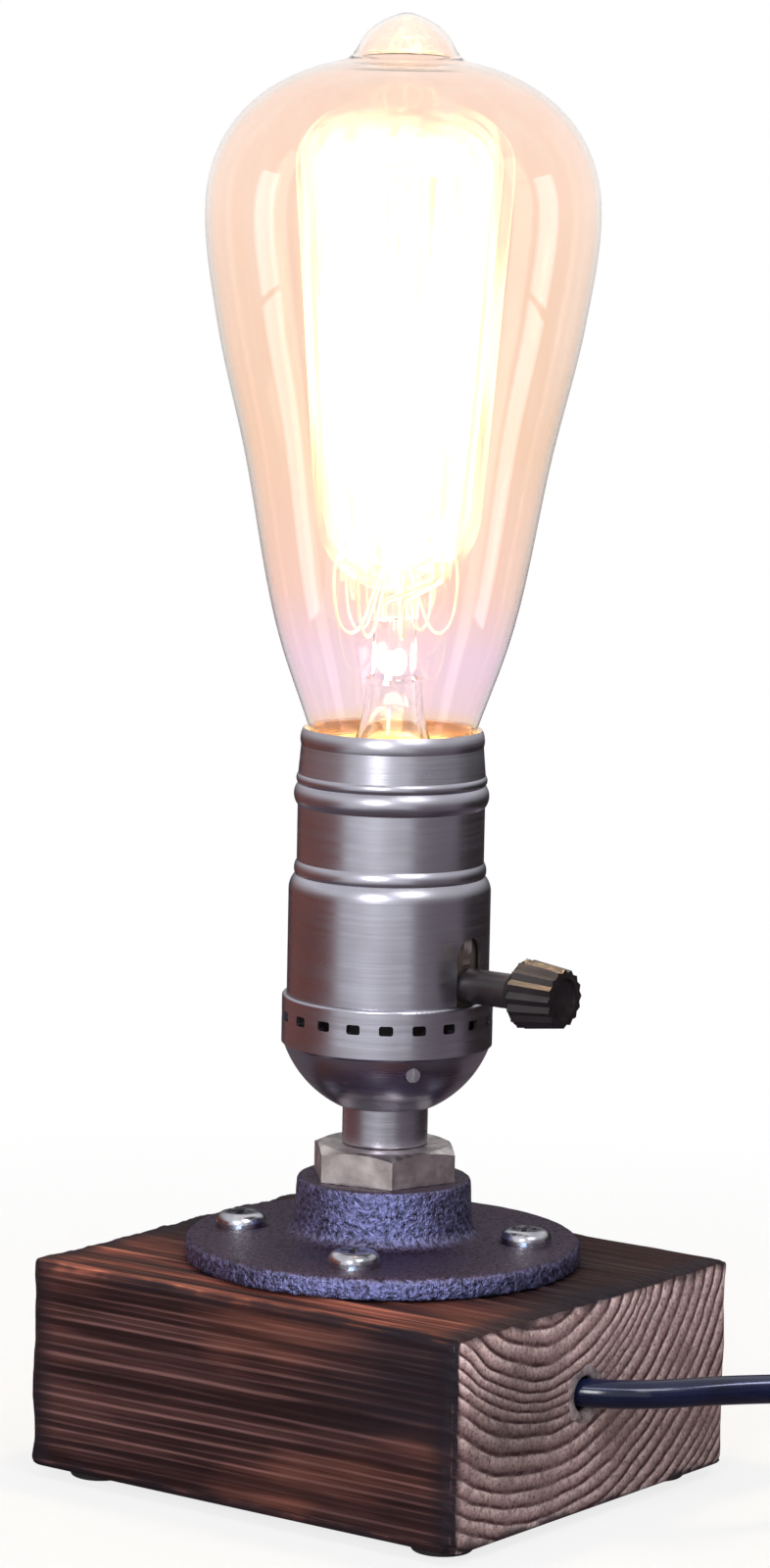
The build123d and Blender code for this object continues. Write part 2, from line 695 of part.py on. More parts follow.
with BuildPart() as detent_spring:
    spring_foot = switch_z - CHAMBER_Z
    with BuildSketch(Plane.YZ.offset(CHAMBER_X0 + ROTOR_END_ROOM)):
        with BuildLine():
            ThreePointArc(
                (-SPRING_Y, spring_foot), (0, spring_foot + SPRING_BOW), (SPRING_Y, spring_foot)
            )
            offset(amount=SPRING_T, side=Side.LEFT)
        make_face()
    extrude(amount=rotor_l)
keep(detent_spring, "detent_spring")

# Terminals on the two flats of the core, one for each wire
with BuildPart() as terminal_plates:
    for side in (-1, 1):
        with BuildSketch(Plane.XZ.offset(-side * CORE_FLAT_Y)):
            with Locations((0, switch_z - PLATE_LOW)):
                Rectangle(PLATE_W, PLATE_H, align=(Align.CENTER, Align.MIN))
            with Locations((0, terminal_z)):
                Circle(TERMINAL_R + FIT, mode=Mode.SUBTRACT)
        extrude(amount=-side * PLATE_THICK)
keep(terminal_plates, "terminal_plates")

with BuildPart() as terminal_screws:
    for side in (-1, 1):
        with BuildSketch(Plane.XZ.offset(-side * terminal_head_y)):
            with Locations((0, terminal_z)):
                Circle(TERMINAL_R)
        extrude(amount=side * (terminal_head_y - TERMINAL_INNER_Y))
        with BuildSketch(Plane.XZ.offset(-side * terminal_head_y)):
            with Locations((0, terminal_z)):
                Circle(TERMINAL_HEAD_R)
        extrude(amount=-side * TERMINAL_HEAD_H)
        with BuildSketch(Plane.XZ.offset(-side * (terminal_head_y + TERMINAL_HEAD_H))):
            with Locations((0, terminal_z)):
                Rectangle(2 * TERMINAL_HEAD_R, CAP_SCREW_SLOT)
        extrude(amount=side * 2 * CAP_SCREW_SLOT, mode=Mode.SUBTRACT)
keep(terminal_screws, "terminal_screws")

# Insulated wires from the end of the sheath to the terminals, with bare ends under the heads
sheath_top = nipple_top + SHEATH_STANDS
strand_x = TERMINAL_R + STRAND_R + 2 * FIT
strand_y = CORE_FLAT_Y + PLATE_THICK + STRAND_R + FIT
for side, name in ((-1, "neutral_lead"), (1, "live_lead")):
    with BuildPart() as lead:
        with BuildLine() as lead_line:
            FilletPolyline(
                (0, side * LEAD_SPLIT, sheath_top),
                (0, side * LEAD_SPLIT, sheath_top + LEAD_RISE),
                (strand_x, side * strand_y, sheath_top + LEAD_TURN_RISE),
                (strand_x, side * strand_y, shell_low),
                radius=LEAD_BEND_R,
            )
        with BuildSketch(Plane(lead_line.line @ 0, z_dir=lead_line.line % 0)):
            Circle(LEAD_R)
        sweep(path=lead_line.wire())
        with BuildSketch(Plane.XY.offset(shell_low)):
            with Locations((strand_x, side * strand_y)):
                Circle(STRAND_R)
        extrude(amount=terminal_z + TERMINAL_R - shell_low)
    keep(lead, name)

# Turn switch: a square rotor and a ribbed knob on one shaft
with BuildPart() as switch_shaft:
    with BuildSketch(SWITCH_PLANE.offset(SHAFT_INNER_X)):
        Circle(SHAFT_R)
    extrude(amount=SHAFT_END_X - SHAFT_INNER_X)
keep(switch_shaft, "switch_shaft")

with BuildPart() as switch_rotor:
    with BuildSketch(SWITCH_PLANE.offset(CHAMBER_X0 + ROTOR_END_ROOM)):
        RectangleRounded(ROTOR_SIDE, ROTOR_SIDE, ROTOR_CORNER_R)
        Circle(SHAFT_R + FIT, mode=Mode.SUBTRACT)
    extrude(amount=rotor_l)
keep(switch_rotor, "switch_rotor")

with BuildPart() as switch_knob:
    with BuildSketch(SWITCH_PLANE.offset(CORE_R + RUN)):
        Circle(STEM_R)
    extrude(amount=KNOB_FOOT_X - CORE_R - RUN)
    with BuildSketch(SWITCH_PLANE.offset(KNOB_FOOT_X)):
        Circle(STEM_R)
    with BuildSketch(SWITCH_PLANE.offset(KNOB_WIDE_X)):
        Circle(KNOB_WIDE_R - RIB_DEPTH / 2)
    loft()
    for x, radius in ((KNOB_WIDE_X, KNOB_WIDE_R), (KNOB_END_X, KNOB_END_R)):
        with BuildSketch(SWITCH_PLANE.offset(x)):
            with BuildLine():
                Polyline(*ribbed_outline(radius), close=True)
            make_face()
    loft(ruled=True)
    with BuildSketch(SWITCH_PLANE.offset(KNOB_END_X)):
        Circle(KNOB_DISH_R)
    extrude(amount=-KNOB_DISH_DEPTH, mode=Mode.SUBTRACT)
    with BuildSketch(SWITCH_PLANE.offset(CORE_R + RUN)):
        Circle(SHAFT_R + FIT)
    extrude(amount=SHAFT_END_X + FIT - CORE_R - RUN, mode=Mode.SUBTRACT)
keep(switch_knob, "switch_knob")

# Screw base of the bulb: brass shell, glass insulator and solder tip
with BuildPart() as bulb_cap:
    with BuildSketch(SECTION):
        with BuildLine():
            Polyline(
                (SCREW_BASE_R, base_top),
                (SCREW_BASE_R, base_cone_top),
                (BASE_CONE_R, base_low),
                (BASE_HOLE_R, base_low),
            )
            offset(amount=SCREW_BASE_WALL, side=Side.RIGHT)
        make_face()
    revolve(axis=Axis.Z)
keep(bulb_cap, "bulb_cap")

with BuildPart() as bulb_insulator:
    with BuildSketch(SECTION):
        with BuildLine():
            Polyline(
                (TIP_PIN_R + FIT, tip_top),
                (TIP_R, tip_top),
                (BASE_CONE_R, base_low),
                (BASE_HOLE_R - FIT, base_low),
                (BASE_HOLE_R - FIT, base_low + 2 * SCREW_BASE_WALL),
                (TIP_PIN_R + FIT, base_low + 2 * SCREW_BASE_WALL),
                close=True,
            )
        make_face()
    revolve(axis=Axis.Z)
keep(bulb_insulator, "bulb_insulator")

with BuildPart() as bulb_tip:
    with BuildSketch(SECTION):
        with BuildLine():
            dome = TangentArc((0, tip_low), (TIP_R, tip_top), tangent=(1, 0))
            Polyline(
                dome @ 1,
                (TIP_PIN_R, tip_top),
                (TIP_PIN_R, tip_top + TIP_PIN_H),
                (0, tip_top + TIP_PIN_H),
                dome @ 0,
            )
        make_face()
    revolve(axis=Axis.Z)
keep(bulb_tip, "bulb_tip")

# Glass: one blown wall from the neck to the crown, closed by a solid sealed nub
inner_r = GLASS_R - GLASS_T
inner_rise = GLASS_TOP_H - GLASS_T
nub_foot = crown_point(NUB_FOOT_R, GLASS_R, GLASS_TOP_H)
nub_points = [(r, nub_foot[1] + h) for r, h in NUB_SIDE + [(0, NUB_TOP_H)]]
with BuildPart() as bulb_glass:
    with BuildSketch(SECTION.shift_origin((0, 0, rim_top))):
        with BuildLine():
            neck = Line((GLASS_NECK_R, -GLASS_NECK_DROP), (GLASS_NECK_R, -BASE_TOP_DROP))
            side = Spline(neck @ 1, *GLASS_SIDE, (GLASS_R, GLASS_WIDE_H), tangents=[(0, 1), (0, 1)])
            crown = Spline(
                side @ 1,
                *[crown_point(r, GLASS_R, GLASS_TOP_H) for r in CROWN_RADII],
                nub_foot,
                tangents=[(0, 1), CROWN_ENDS],
            )
            nub = Spline(crown @ 1, *nub_points, tangents=[NUB_LEAVES, (-1, 0)])
            inner_neck = Line(
                (GLASS_NECK_R - GLASS_T, -GLASS_NECK_DROP), (GLASS_NECK_R - GLASS_T, -BASE_TOP_DROP)
            )
            inner_side = Spline(
                inner_neck @ 1,
                *[(r - GLASS_T, h) for r, h in GLASS_SIDE],
                (inner_r, GLASS_WIDE_H),
                tangents=[(0, 1), (0, 1)],
            )
            inner_crown = Spline(
                inner_side @ 1,
                *[crown_point(r * inner_r / GLASS_R, inner_r, inner_rise) for r in CROWN_RADII],
                (0, GLASS_WIDE_H + inner_rise),
                tangents=[(0, 1), (-1, 0)],
            )
            Line(neck @ 0, inner_neck @ 0)
            Line(nub @ 1, inner_crown @ 1)
        make_face()
    revolve(axis=Axis.Z)
keep(bulb_glass, "bulb_glass")

# Glass stem: a hollow flare, a flat press for the lead wires and a rod with two buttons
fil_low = rim_top + FILAMENT_LOW_H
fil_top = rim_top + GLASS_WIDE_H + FILAMENT_TOP_H
hook_low = fil_low + FILAMENT_R + HOOK_R + FIT
hook_top = fil_top - FILAMENT_R - HOOK_R - FIT
press_top = rim_top + PRESS_TOP_H
flare_top = rim_top + FLARE_TOP_H
with BuildPart() as glass_stem:
    with BuildSketch(SECTION):
        with BuildLine():
            flare = Spline(
                (FLARE_R, rim_top - FLARE_DROP),
                (FLARE_TOP_R, flare_top),
                tangents=[FLARE_LEAVES, (0, 1)],
            )
            bore = Spline(
                (FLARE_R - FLARE_WALL, rim_top - FLARE_DROP),
                (FLARE_TOP_R - FLARE_WALL, flare_top),
                tangents=[FLARE_LEAVES, (0, 1)],
            )
            Line(flare @ 0, bore @ 0)
            Line(flare @ 1, bore @ 1)
        make_face()
    revolve(axis=Axis.Z)
    with BuildSketch(Plane.XY.offset(flare_top - FLARE_WALL)):
        RectangleRounded(PRESS_T, PRESS_W, PRESS_T / 2 - FIT)
    extrude(amount=press_top - flare_top + FLARE_WALL)
    with BuildSketch(Plane.XY.offset(press_top)):
        Circle(ROD_R)
    extrude(amount=hook_top - press_top)
    with Locations((0, 0, hook_low), (0, 0, hook_top)):
        Sphere(BUTTON_R)
keep(glass_stem, "glass_stem")

# Filament: one wire hung in tall hairpins between an upper and a lower ring of hooks
loop_turn = 2 * pi / FILAMENT_LOOPS
lead_turn = radians(LEAD_END_TURN)
filament_start = ring_point(FILAMENT_LOW_R, lead_turn, fil_low)
filament_end = ring_point(FILAMENT_LOW_R, -lead_turn, fil_low)
filament_points = [filament_start]
for loop in range(FILAMENT_LOOPS):
    filament_points += hairpin(FILAMENT_TOP_R, (loop + 0.5) * loop_turn, fil_top)
    if loop < FILAMENT_LOOPS - 1:
        filament_points += hairpin(FILAMENT_LOW_R, (loop + 1) * loop_turn, fil_low)
filament_points.append(filament_end)
with BuildPart() as filament:
    with BuildLine() as filament_line:
        FilletPolyline(*filament_points, radius=route_radii(filament_points))
    with BuildSketch(Plane(filament_line.line @ 0, z_dir=filament_line.line % 0)):
        Circle(FILAMENT_R)
    sweep(path=filament_line.wire())
keep(filament, "filament")
report_tube("filament", filament, filament_line.wire(), FILAMENT_R)

hooks = [(FILAMENT_TOP_R, (loop + 0.5) * loop_turn, hook_top) for loop in range(FILAMENT_LOOPS)]
hooks += [(FILAMENT_LOW_R, loop * loop_turn, hook_low) for loop in range(1, FILAMENT_LOOPS)]
with BuildPart() as support_wires:
    for ring_r, angle, height in hooks:
        outward = Vector(cos(angle), sin(angle), 0)
        foot = outward * (BUTTON_R + FIT) + Vector(0, 0, height)
        with BuildSketch(Plane(foot, z_dir=outward)):
            Circle(HOOK_R)
        extrude(amount=ring_r + HOOK_STANDS - BUTTON_R)
keep(support_wires, "support_wires")

with BuildPart() as lead_wires:
    for side, end in ((1, filament_start), (-1, filament_end)):
        with BuildLine() as lead_wire_line:
            FilletPolyline(
                (0, side * LEAD_WIRE_AT, press_top),
                (0, side * LEAD_WIRE_AT, press_top + LEAD_WIRE_RISE),
                (end[0], end[1], fil_low - LEAD_WIRE_RISE),
                end,
                radius=LEAD_WIRE_RISE / 2,
            )
        with BuildSketch(Plane(lead_wire_line.line @ 0, z_dir=lead_wire_line.line % 0)):
            Circle(LEAD_WIRE_R)
        sweep(path=lead_wire_line.wire())
keep(lead_wires, "lead_wires")

# Cord inside the block: in by the drilled hole and up through the threaded tube
inside_points = [CORD_ROUTE[0], *CORD_INSIDE, (0, 0, sheath_top)]
with BuildPart() as cord_inside:
    with BuildLine() as inside_line:
        FilletPolyline(*inside_points, radius=route_radii(inside_points))
    with BuildSketch(Plane(inside_line.line @ 0, z_dir=inside_line.line % 0)):
        Circle(CORD_R)
    sweep(path=inside_line.wire())
keep(cord_inside, "cord_inside")
report_tube("cord_inside", cord_inside, inside_line.wire(), CORD_R)

# Free cord from the hole to the coil
print("cord_run radii", [round(r, 1) for r in route_radii(CORD_ROUTE)])
with BuildPart() as cord_run:
    with BuildLine() as run_line:
        FilletPolyline(*CORD_ROUTE, radius=route_radii(CORD_ROUTE))
    with BuildSketch(Plane(run_line.line @ 0, z_dir=run_line.line % 0)):
        Circle(CORD_R)
    sweep(path=run_line.wire())
keep(cord_run, "cord_run")
report_tube("cord_run", cord_run, run_line.wire(), CORD_R)

# Coil: the put-away length, wound in and out in layers from the top one down
coil_start = Vector(*CORD_ROUTE[-1])
heading = (coil_start - Vector(*CORD_ROUTE[-2])).normalized()
coil_slope = COIL_PITCH / (2 * pi)
turn_in = degrees(atan2(coil_slope, COIL_R))
coil_first = coil_start + heading * 2 * CORD_R
coil_centre = coil_first + heading.rotate(Axis.Z, turn_in - 90) * COIL_R
start_arm = coil_first - coil_centre
start_angle = atan2(start_arm.Y, start_arm.X)
coil_places = [coil_place(q) for q in range((COIL_LAYER_QUARTERS + 2) * COIL_LAYERS - 1)]
with BuildPart() as cord_coil:
    with BuildLine() as coil_line:
        Line(coil_start, coil_first)
        for (before, along), (after, onward) in zip(coil_places, coil_places[1:]):
            biarc(before, along, after, onward)
        coil_last, coil_leaves = coil_places[-1]
        coil_end = coil_last + coil_leaves * 2 * CORD_R
        Line(coil_last, coil_end)
    with BuildSketch(Plane(coil_start, z_dir=heading)):
        Circle(CORD_R)
    sweep(path=coil_line.wire())
keep(cord_coil, "cord_coil")
report_tube("cord_coil", cord_coil, coil_line.wire(), CORD_R)
print(f"cord_coil least gap to itself {least_gap(coil_line.wire(), CORD_R):.2f} mm")

# Two ties round the bundle of turns, which the coil rests on
tie_inner_r = COIL_R - COIL_PITCH * (COIL_LAYER_QUARTERS + 1) / 4 - CORD_R - TIE_ROOM
tie_outer_r = COIL_R + COIL_PITCH / 4 + CORD_R + TIE_ROOM
tie_w = tie_outer_r - tie_inner_r
tie_top = CORD_ROUTE[-1][2] + CORD_R + TIE_ROOM
with BuildPart() as coil_ties:
    for opposite in (0, 180):
        tie_angle = degrees(start_angle) + TIE_TURN - opposite
        arm = Vector(1, 0, 0).rotate(Axis.Z, tie_angle)
        middle = coil_centre + arm * (tie_inner_r + tie_outer_r) / 2
        tie_origin = (middle.X, middle.Y, (tie_top + TIE_T) / 2)
        with BuildSketch(Plane(tie_origin, x_dir=arm, z_dir=arm.cross(Vector(0, 0, 1)))):
            RectangleRounded(tie_w + 2 * TIE_T, tie_top + TIE_T, CORD_R)
            RectangleRounded(tie_w, tie_top - TIE_T, CORD_R - TIE_T, mode=Mode.SUBTRACT)
        extrude(amount=TIE_W / 2, both=True)
keep(coil_ties, "coil_ties")

# Tail of the cord and its two-blade plug
tail_side = Vector(0, 0, 1).cross(coil_leaves)
tail_points = [tuple(coil_end)]
for ahead, aside, up in TAIL_STEPS:
    tail_points.append(tuple(coil_end + coil_leaves * ahead + tail_side * aside + Vector(0, 0, up)))
print("cord_tail radii", [round(r, 1) for r in route_radii(tail_points)])
with BuildPart() as cord_tail:
    with BuildLine() as tail_line:
        FilletPolyline(*tail_points, radius=route_radii(tail_points))
    with BuildSketch(Plane(tail_line.line @ 0, z_dir=tail_line.line % 0)):
        Circle(CORD_R)
    sweep(path=tail_line.wire())
keep(cord_tail, "cord_tail")
report_tube("cord_tail", cord_tail, tail_line.wire(), CORD_R)

plug_plane = Plane(tail_line.line @ 1, x_dir=tail_side, z_dir=coil_leaves)
plug_t = 2 * ((tail_line.line @ 1).Z - FIT)
with BuildPart() as plug_body:
    with BuildSketch(plug_plane):
        Circle(PLUG_BOOT_R)
    with BuildSketch(plug_plane.offset(PLUG_BOOT_L)):
        Circle(PLUG_WAIST_R)
    loft()
    with BuildSketch(plug_plane.offset(PLUG_BOOT_L)):
        RectangleRounded(2 * PLUG_WAIST_R, 2 * PLUG_WAIST_R, PLUG_CORNER_R)
    with BuildSketch(plug_plane.offset(PLUG_BOOT_L + PLUG_TAPER_L)):
        RectangleRounded(PLUG_W, plug_t, PLUG_CORNER_R)
    loft()
    with BuildSketch(plug_plane.offset(PLUG_BOOT_L + PLUG_TAPER_L)):
        RectangleRounded(PLUG_W, plug_t, PLUG_CORNER_R)
    extrude(amount=PLUG_L - PLUG_TAPER_L)
keep(plug_body, "plug_body")

with BuildPart() as plug_blades:
    for side in (-1, 1):
        with BuildSketch(plug_plane.offset(PLUG_BOOT_L + PLUG_L)):
            with Locations((side * BLADE_SPACING / 2, 0)):
                Rectangle(BLADE_T, BLADE_W)
        extrude(amount=BLADE_L)
    blade_plane = Plane(plug_plane.origin, x_dir=coil_leaves, z_dir=tail_side)
    with BuildSketch(blade_plane):
        with Locations((PLUG_BOOT_L + PLUG_L + BLADE_L - BLADE_HOLE_DROP, 0)):
            Circle(BLADE_HOLE_R)
    extrude(amount=PLUG_W, both=True, mode=Mode.SUBTRACT)
keep(plug_blades, "plug_blades")
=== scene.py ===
# %% [markdown]
# # A bare-bulb desk lamp
#
# The lamp is a drop-shaped filament bulb in a metal lampholder. The lampholder stands on a
# cast pipe flange, the flange on a charred block of pine, and a black cord leaves the block
# by a drilled hole. The solids come ready made from the CAD model, in metres, so this lesson
# adds only what solids lack: finishes, light, glow, grain and the smooth lie of the cord.

# %% Load the frame
import math

import bpy
import numpy as np
from mathutils import Matrix, Vector
from mathutils.geometry import interpolate_bezier


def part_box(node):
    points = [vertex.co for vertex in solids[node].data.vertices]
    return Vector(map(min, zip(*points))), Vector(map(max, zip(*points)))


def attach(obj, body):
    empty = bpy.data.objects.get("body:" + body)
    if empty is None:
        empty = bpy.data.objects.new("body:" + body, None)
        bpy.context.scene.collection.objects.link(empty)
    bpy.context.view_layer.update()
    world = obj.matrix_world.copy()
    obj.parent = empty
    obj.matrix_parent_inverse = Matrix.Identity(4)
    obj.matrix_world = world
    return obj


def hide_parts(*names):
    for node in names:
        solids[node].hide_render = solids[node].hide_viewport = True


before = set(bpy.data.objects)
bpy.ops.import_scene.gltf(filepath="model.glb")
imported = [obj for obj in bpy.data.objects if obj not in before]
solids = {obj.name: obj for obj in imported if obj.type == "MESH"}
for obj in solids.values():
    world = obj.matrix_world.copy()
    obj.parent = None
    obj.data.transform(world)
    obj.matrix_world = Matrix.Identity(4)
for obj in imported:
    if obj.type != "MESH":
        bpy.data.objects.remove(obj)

MM = 0.001
scene = bpy.context.scene
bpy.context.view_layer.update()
print("solids loaded:", len(solids))

# %% [markdown]
# ## Camera
#
# A camera could be placed by eye, but then it would be off by a little.
# The corners of the block and the sides of the bulb were measured in the photograph, and a
# camera was solved that puts the model's corners on them. Its place, heading, pitch and roll
# are kept here as plain numbers. The long lens is why the picture has so little perspective.

# %% Place the camera
CAMERA_AT = Vector((0.5183, -0.7027, 0.2322))
CAMERA_HEADING = math.radians(36.485)
CAMERA_PITCH = math.radians(7.59)
CAMERA_ROLL = math.radians(1.15)
CAMERA_LENS = 123.72


def new_object(name, data):
    """A new object in the scene that holds some data."""
    thing = bpy.data.objects.new(name, data)
    scene.collection.objects.link(thing)
    return thing


camera_data = bpy.data.cameras.new("photo_camera")
camera_data.lens = CAMERA_LENS
camera = new_object("photo_camera", camera_data)
camera_turn = Matrix.Rotation(CAMERA_HEADING, 4, "Z")
camera_tilt = Matrix.Rotation(math.pi / 2 - CAMERA_PITCH, 4, "X")
camera_roll = Matrix.Rotation(CAMERA_ROLL, 4, "Z")
camera.matrix_world = Matrix.Translation(CAMERA_AT) @ camera_turn @ camera_tilt @ camera_roll
scene.camera = camera
scene.view_settings.view_transform = "Standard"
print("camera stands", round(CAMERA_AT.length, 3), "m from the lamp's foot")

# %% [markdown]
# ## Cord
#
# A cord bends under its own stiffness, so it has no corners. A NURBS curve with the route's
# points as its control points gives that line by itself: it rounds every corner it is shown.
# The part of the cord that the photograph leaves out is wound up beside the lamp. Its turns
# are worked out by a loop that spirals in, drops a layer, and spirals out again.

# %% Points of the cord
CORD_R = 0.00235
CORD_ROUTE = [
    (0.0240, -0.0056, 0.0217),
    (0.0340, -0.0056, 0.0217),
    (0.0440, -0.0034, 0.0217),
    (0.0525, 0.0026, 0.0217),
    (0.0590, 0.0126, 0.0217),
    (0.0642, 0.0255, 0.0204),
    (0.0676, 0.0383, 0.0189),
    (0.0712, 0.0502, 0.0191),
    (0.0745, 0.0594, 0.0191),
]
COIL_R = 0.032
COIL_PITCH = 0.00525
COIL_LAYER_H = 0.00525
COIL_LAYERS = 4
LAYER_TURNS = 2.0
CLIMB_TURNS = 0.5
POINTS_PER_TURN = 24
TAIL_STEPS = [
    (0.008, 0.0, 0.0),
    (0.016, 0.0008, 0.0018),
    (0.024, 0.0012, 0.00365),
    (0.030, 0.0012, 0.00365),
]

route = [Vector(point) for point in CORD_ROUTE]
coil_start = route[-1]
heading = (coil_start - route[-2]).normalized()
coil_slope = COIL_PITCH / (2 * math.pi)
turn_in = math.atan2(coil_slope, COIL_R)
coil_first = coil_start + heading * 2 * CORD_R
to_centre = Matrix.Rotation(turn_in - math.pi / 2, 3, "Z") @ heading
coil_centre = coil_first + to_centre * COIL_R
start_angle = math.atan2(-to_centre.y, -to_centre.x)
# a NURBS line cuts inside its control points, so they are set this much further out
spline_swell = 1 / (0.75 + 0.25 * math.cos(2 * math.pi / POINTS_PER_TURN))


def coil_point(turns):
    """The coil's centre line after so many turns, clockwise from above and downwards."""
    layer, done = divmod(turns, LAYER_TURNS + CLIMB_TURNS)
    inward = 1 if layer % 2 == 0 else -1
    climbed = max(done - LAYER_TURNS, 0) / CLIMB_TURNS
    wound = min(done, LAYER_TURNS) + CLIMB_TURNS * climbed * (1 - climbed)
    layer_start = COIL_R if inward == 1 else COIL_R - COIL_PITCH * LAYER_TURNS
    radius = (layer_start - inward * COIL_PITCH * wound) * spline_swell
    angle = start_angle - 2 * math.pi * turns
    drop = COIL_LAYER_H * (layer + climbed * climbed * (3 - 2 * climbed))
    return coil_centre + Vector((radius * math.cos(angle), radius * math.sin(angle), -drop))


coil_turns = COIL_LAYERS * (LAYER_TURNS + CLIMB_TURNS) - CLIMB_TURNS
coil_count = round(coil_turns * POINTS_PER_TURN)
coil = [coil_point(step / POINTS_PER_TURN) for step in range(coil_count + 1)]
last_arm = (coil[-1] - coil_centre).to_2d().normalized()
leaves = (Vector((last_arm.y, -last_arm.x, 0)) * COIL_R + last_arm.to_3d() * coil_slope).normalized()
tail_side = Vector((0, 0, 1)).cross(leaves)
coil_end = coil[-1] + leaves * 2 * CORD_R
tail = []
for on, aside, rise in TAIL_STEPS:
    tail.append(coil_end + leaves * on + tail_side * aside + Vector((0, 0, rise)))
print("coil turns:", coil_turns, "centre:", tuple(round(c, 4) for c in coil_centre))

# %% Bend the cord
def round_wire(name, resolution, facets):
    """An empty curve with a round section, as thick as the radius of each of its points."""
    curve = bpy.data.curves.new(name, "CURVE")
    curve.dimensions = "3D"
    curve.resolution_u = resolution
    curve.bevel_depth = 1.0  # a metre, which each point's radius scales down
    curve.bevel_resolution = facets
    curve.use_fill_caps = True
    return curve


def bend_line(curve, points, radius):
    """Add one smooth line with these control points to a curve."""
    line = curve.splines.new("NURBS")
    line.points.add(len(points) - 1)
    for knot, point in zip(line.points, points):
        knot.co = (*point, 1)
        knot.radius = radius
    line.order_u = 3
    line.use_endpoint_u = True
    line.use_smooth = True


def add_piece(name, data, body, slot, *replaced):
    """Show a mesh or curve as a piece that rides on a body and stands for CAD solids."""
    piece = new_object(name, data)
    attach(piece, body)
    if replaced:
        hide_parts(*replaced)
    return piece


cord_points = route + coil + [coil_end] + tail
cord_curve = round_wire("cord", resolution=5, facets=5)
bend_line(cord_curve, cord_points, CORD_R)
cord = add_piece("cord", cord_curve, "lamp", "black_cord", "cord_run", "cord_coil", "cord_tail")

print("cord points:", len(cord_points))

# %% [markdown]
# ## A short way to write finishes
#
# Every finish below is a small graph of nodes, and nearly all end in a Principled shader.
# Building graphs node by node takes many lines, so one helper holds a material and adds a
# node with its settings and links in a single call. A value may be a number, a colour or the
# socket of another node. All patterns use object coordinates, which here are real metres. A
# noise stays mostly near its middle, so colours and gloss are spread over that span alone.

# %% The finish helper
NOISE_SPAN = (0.3, 0.7)


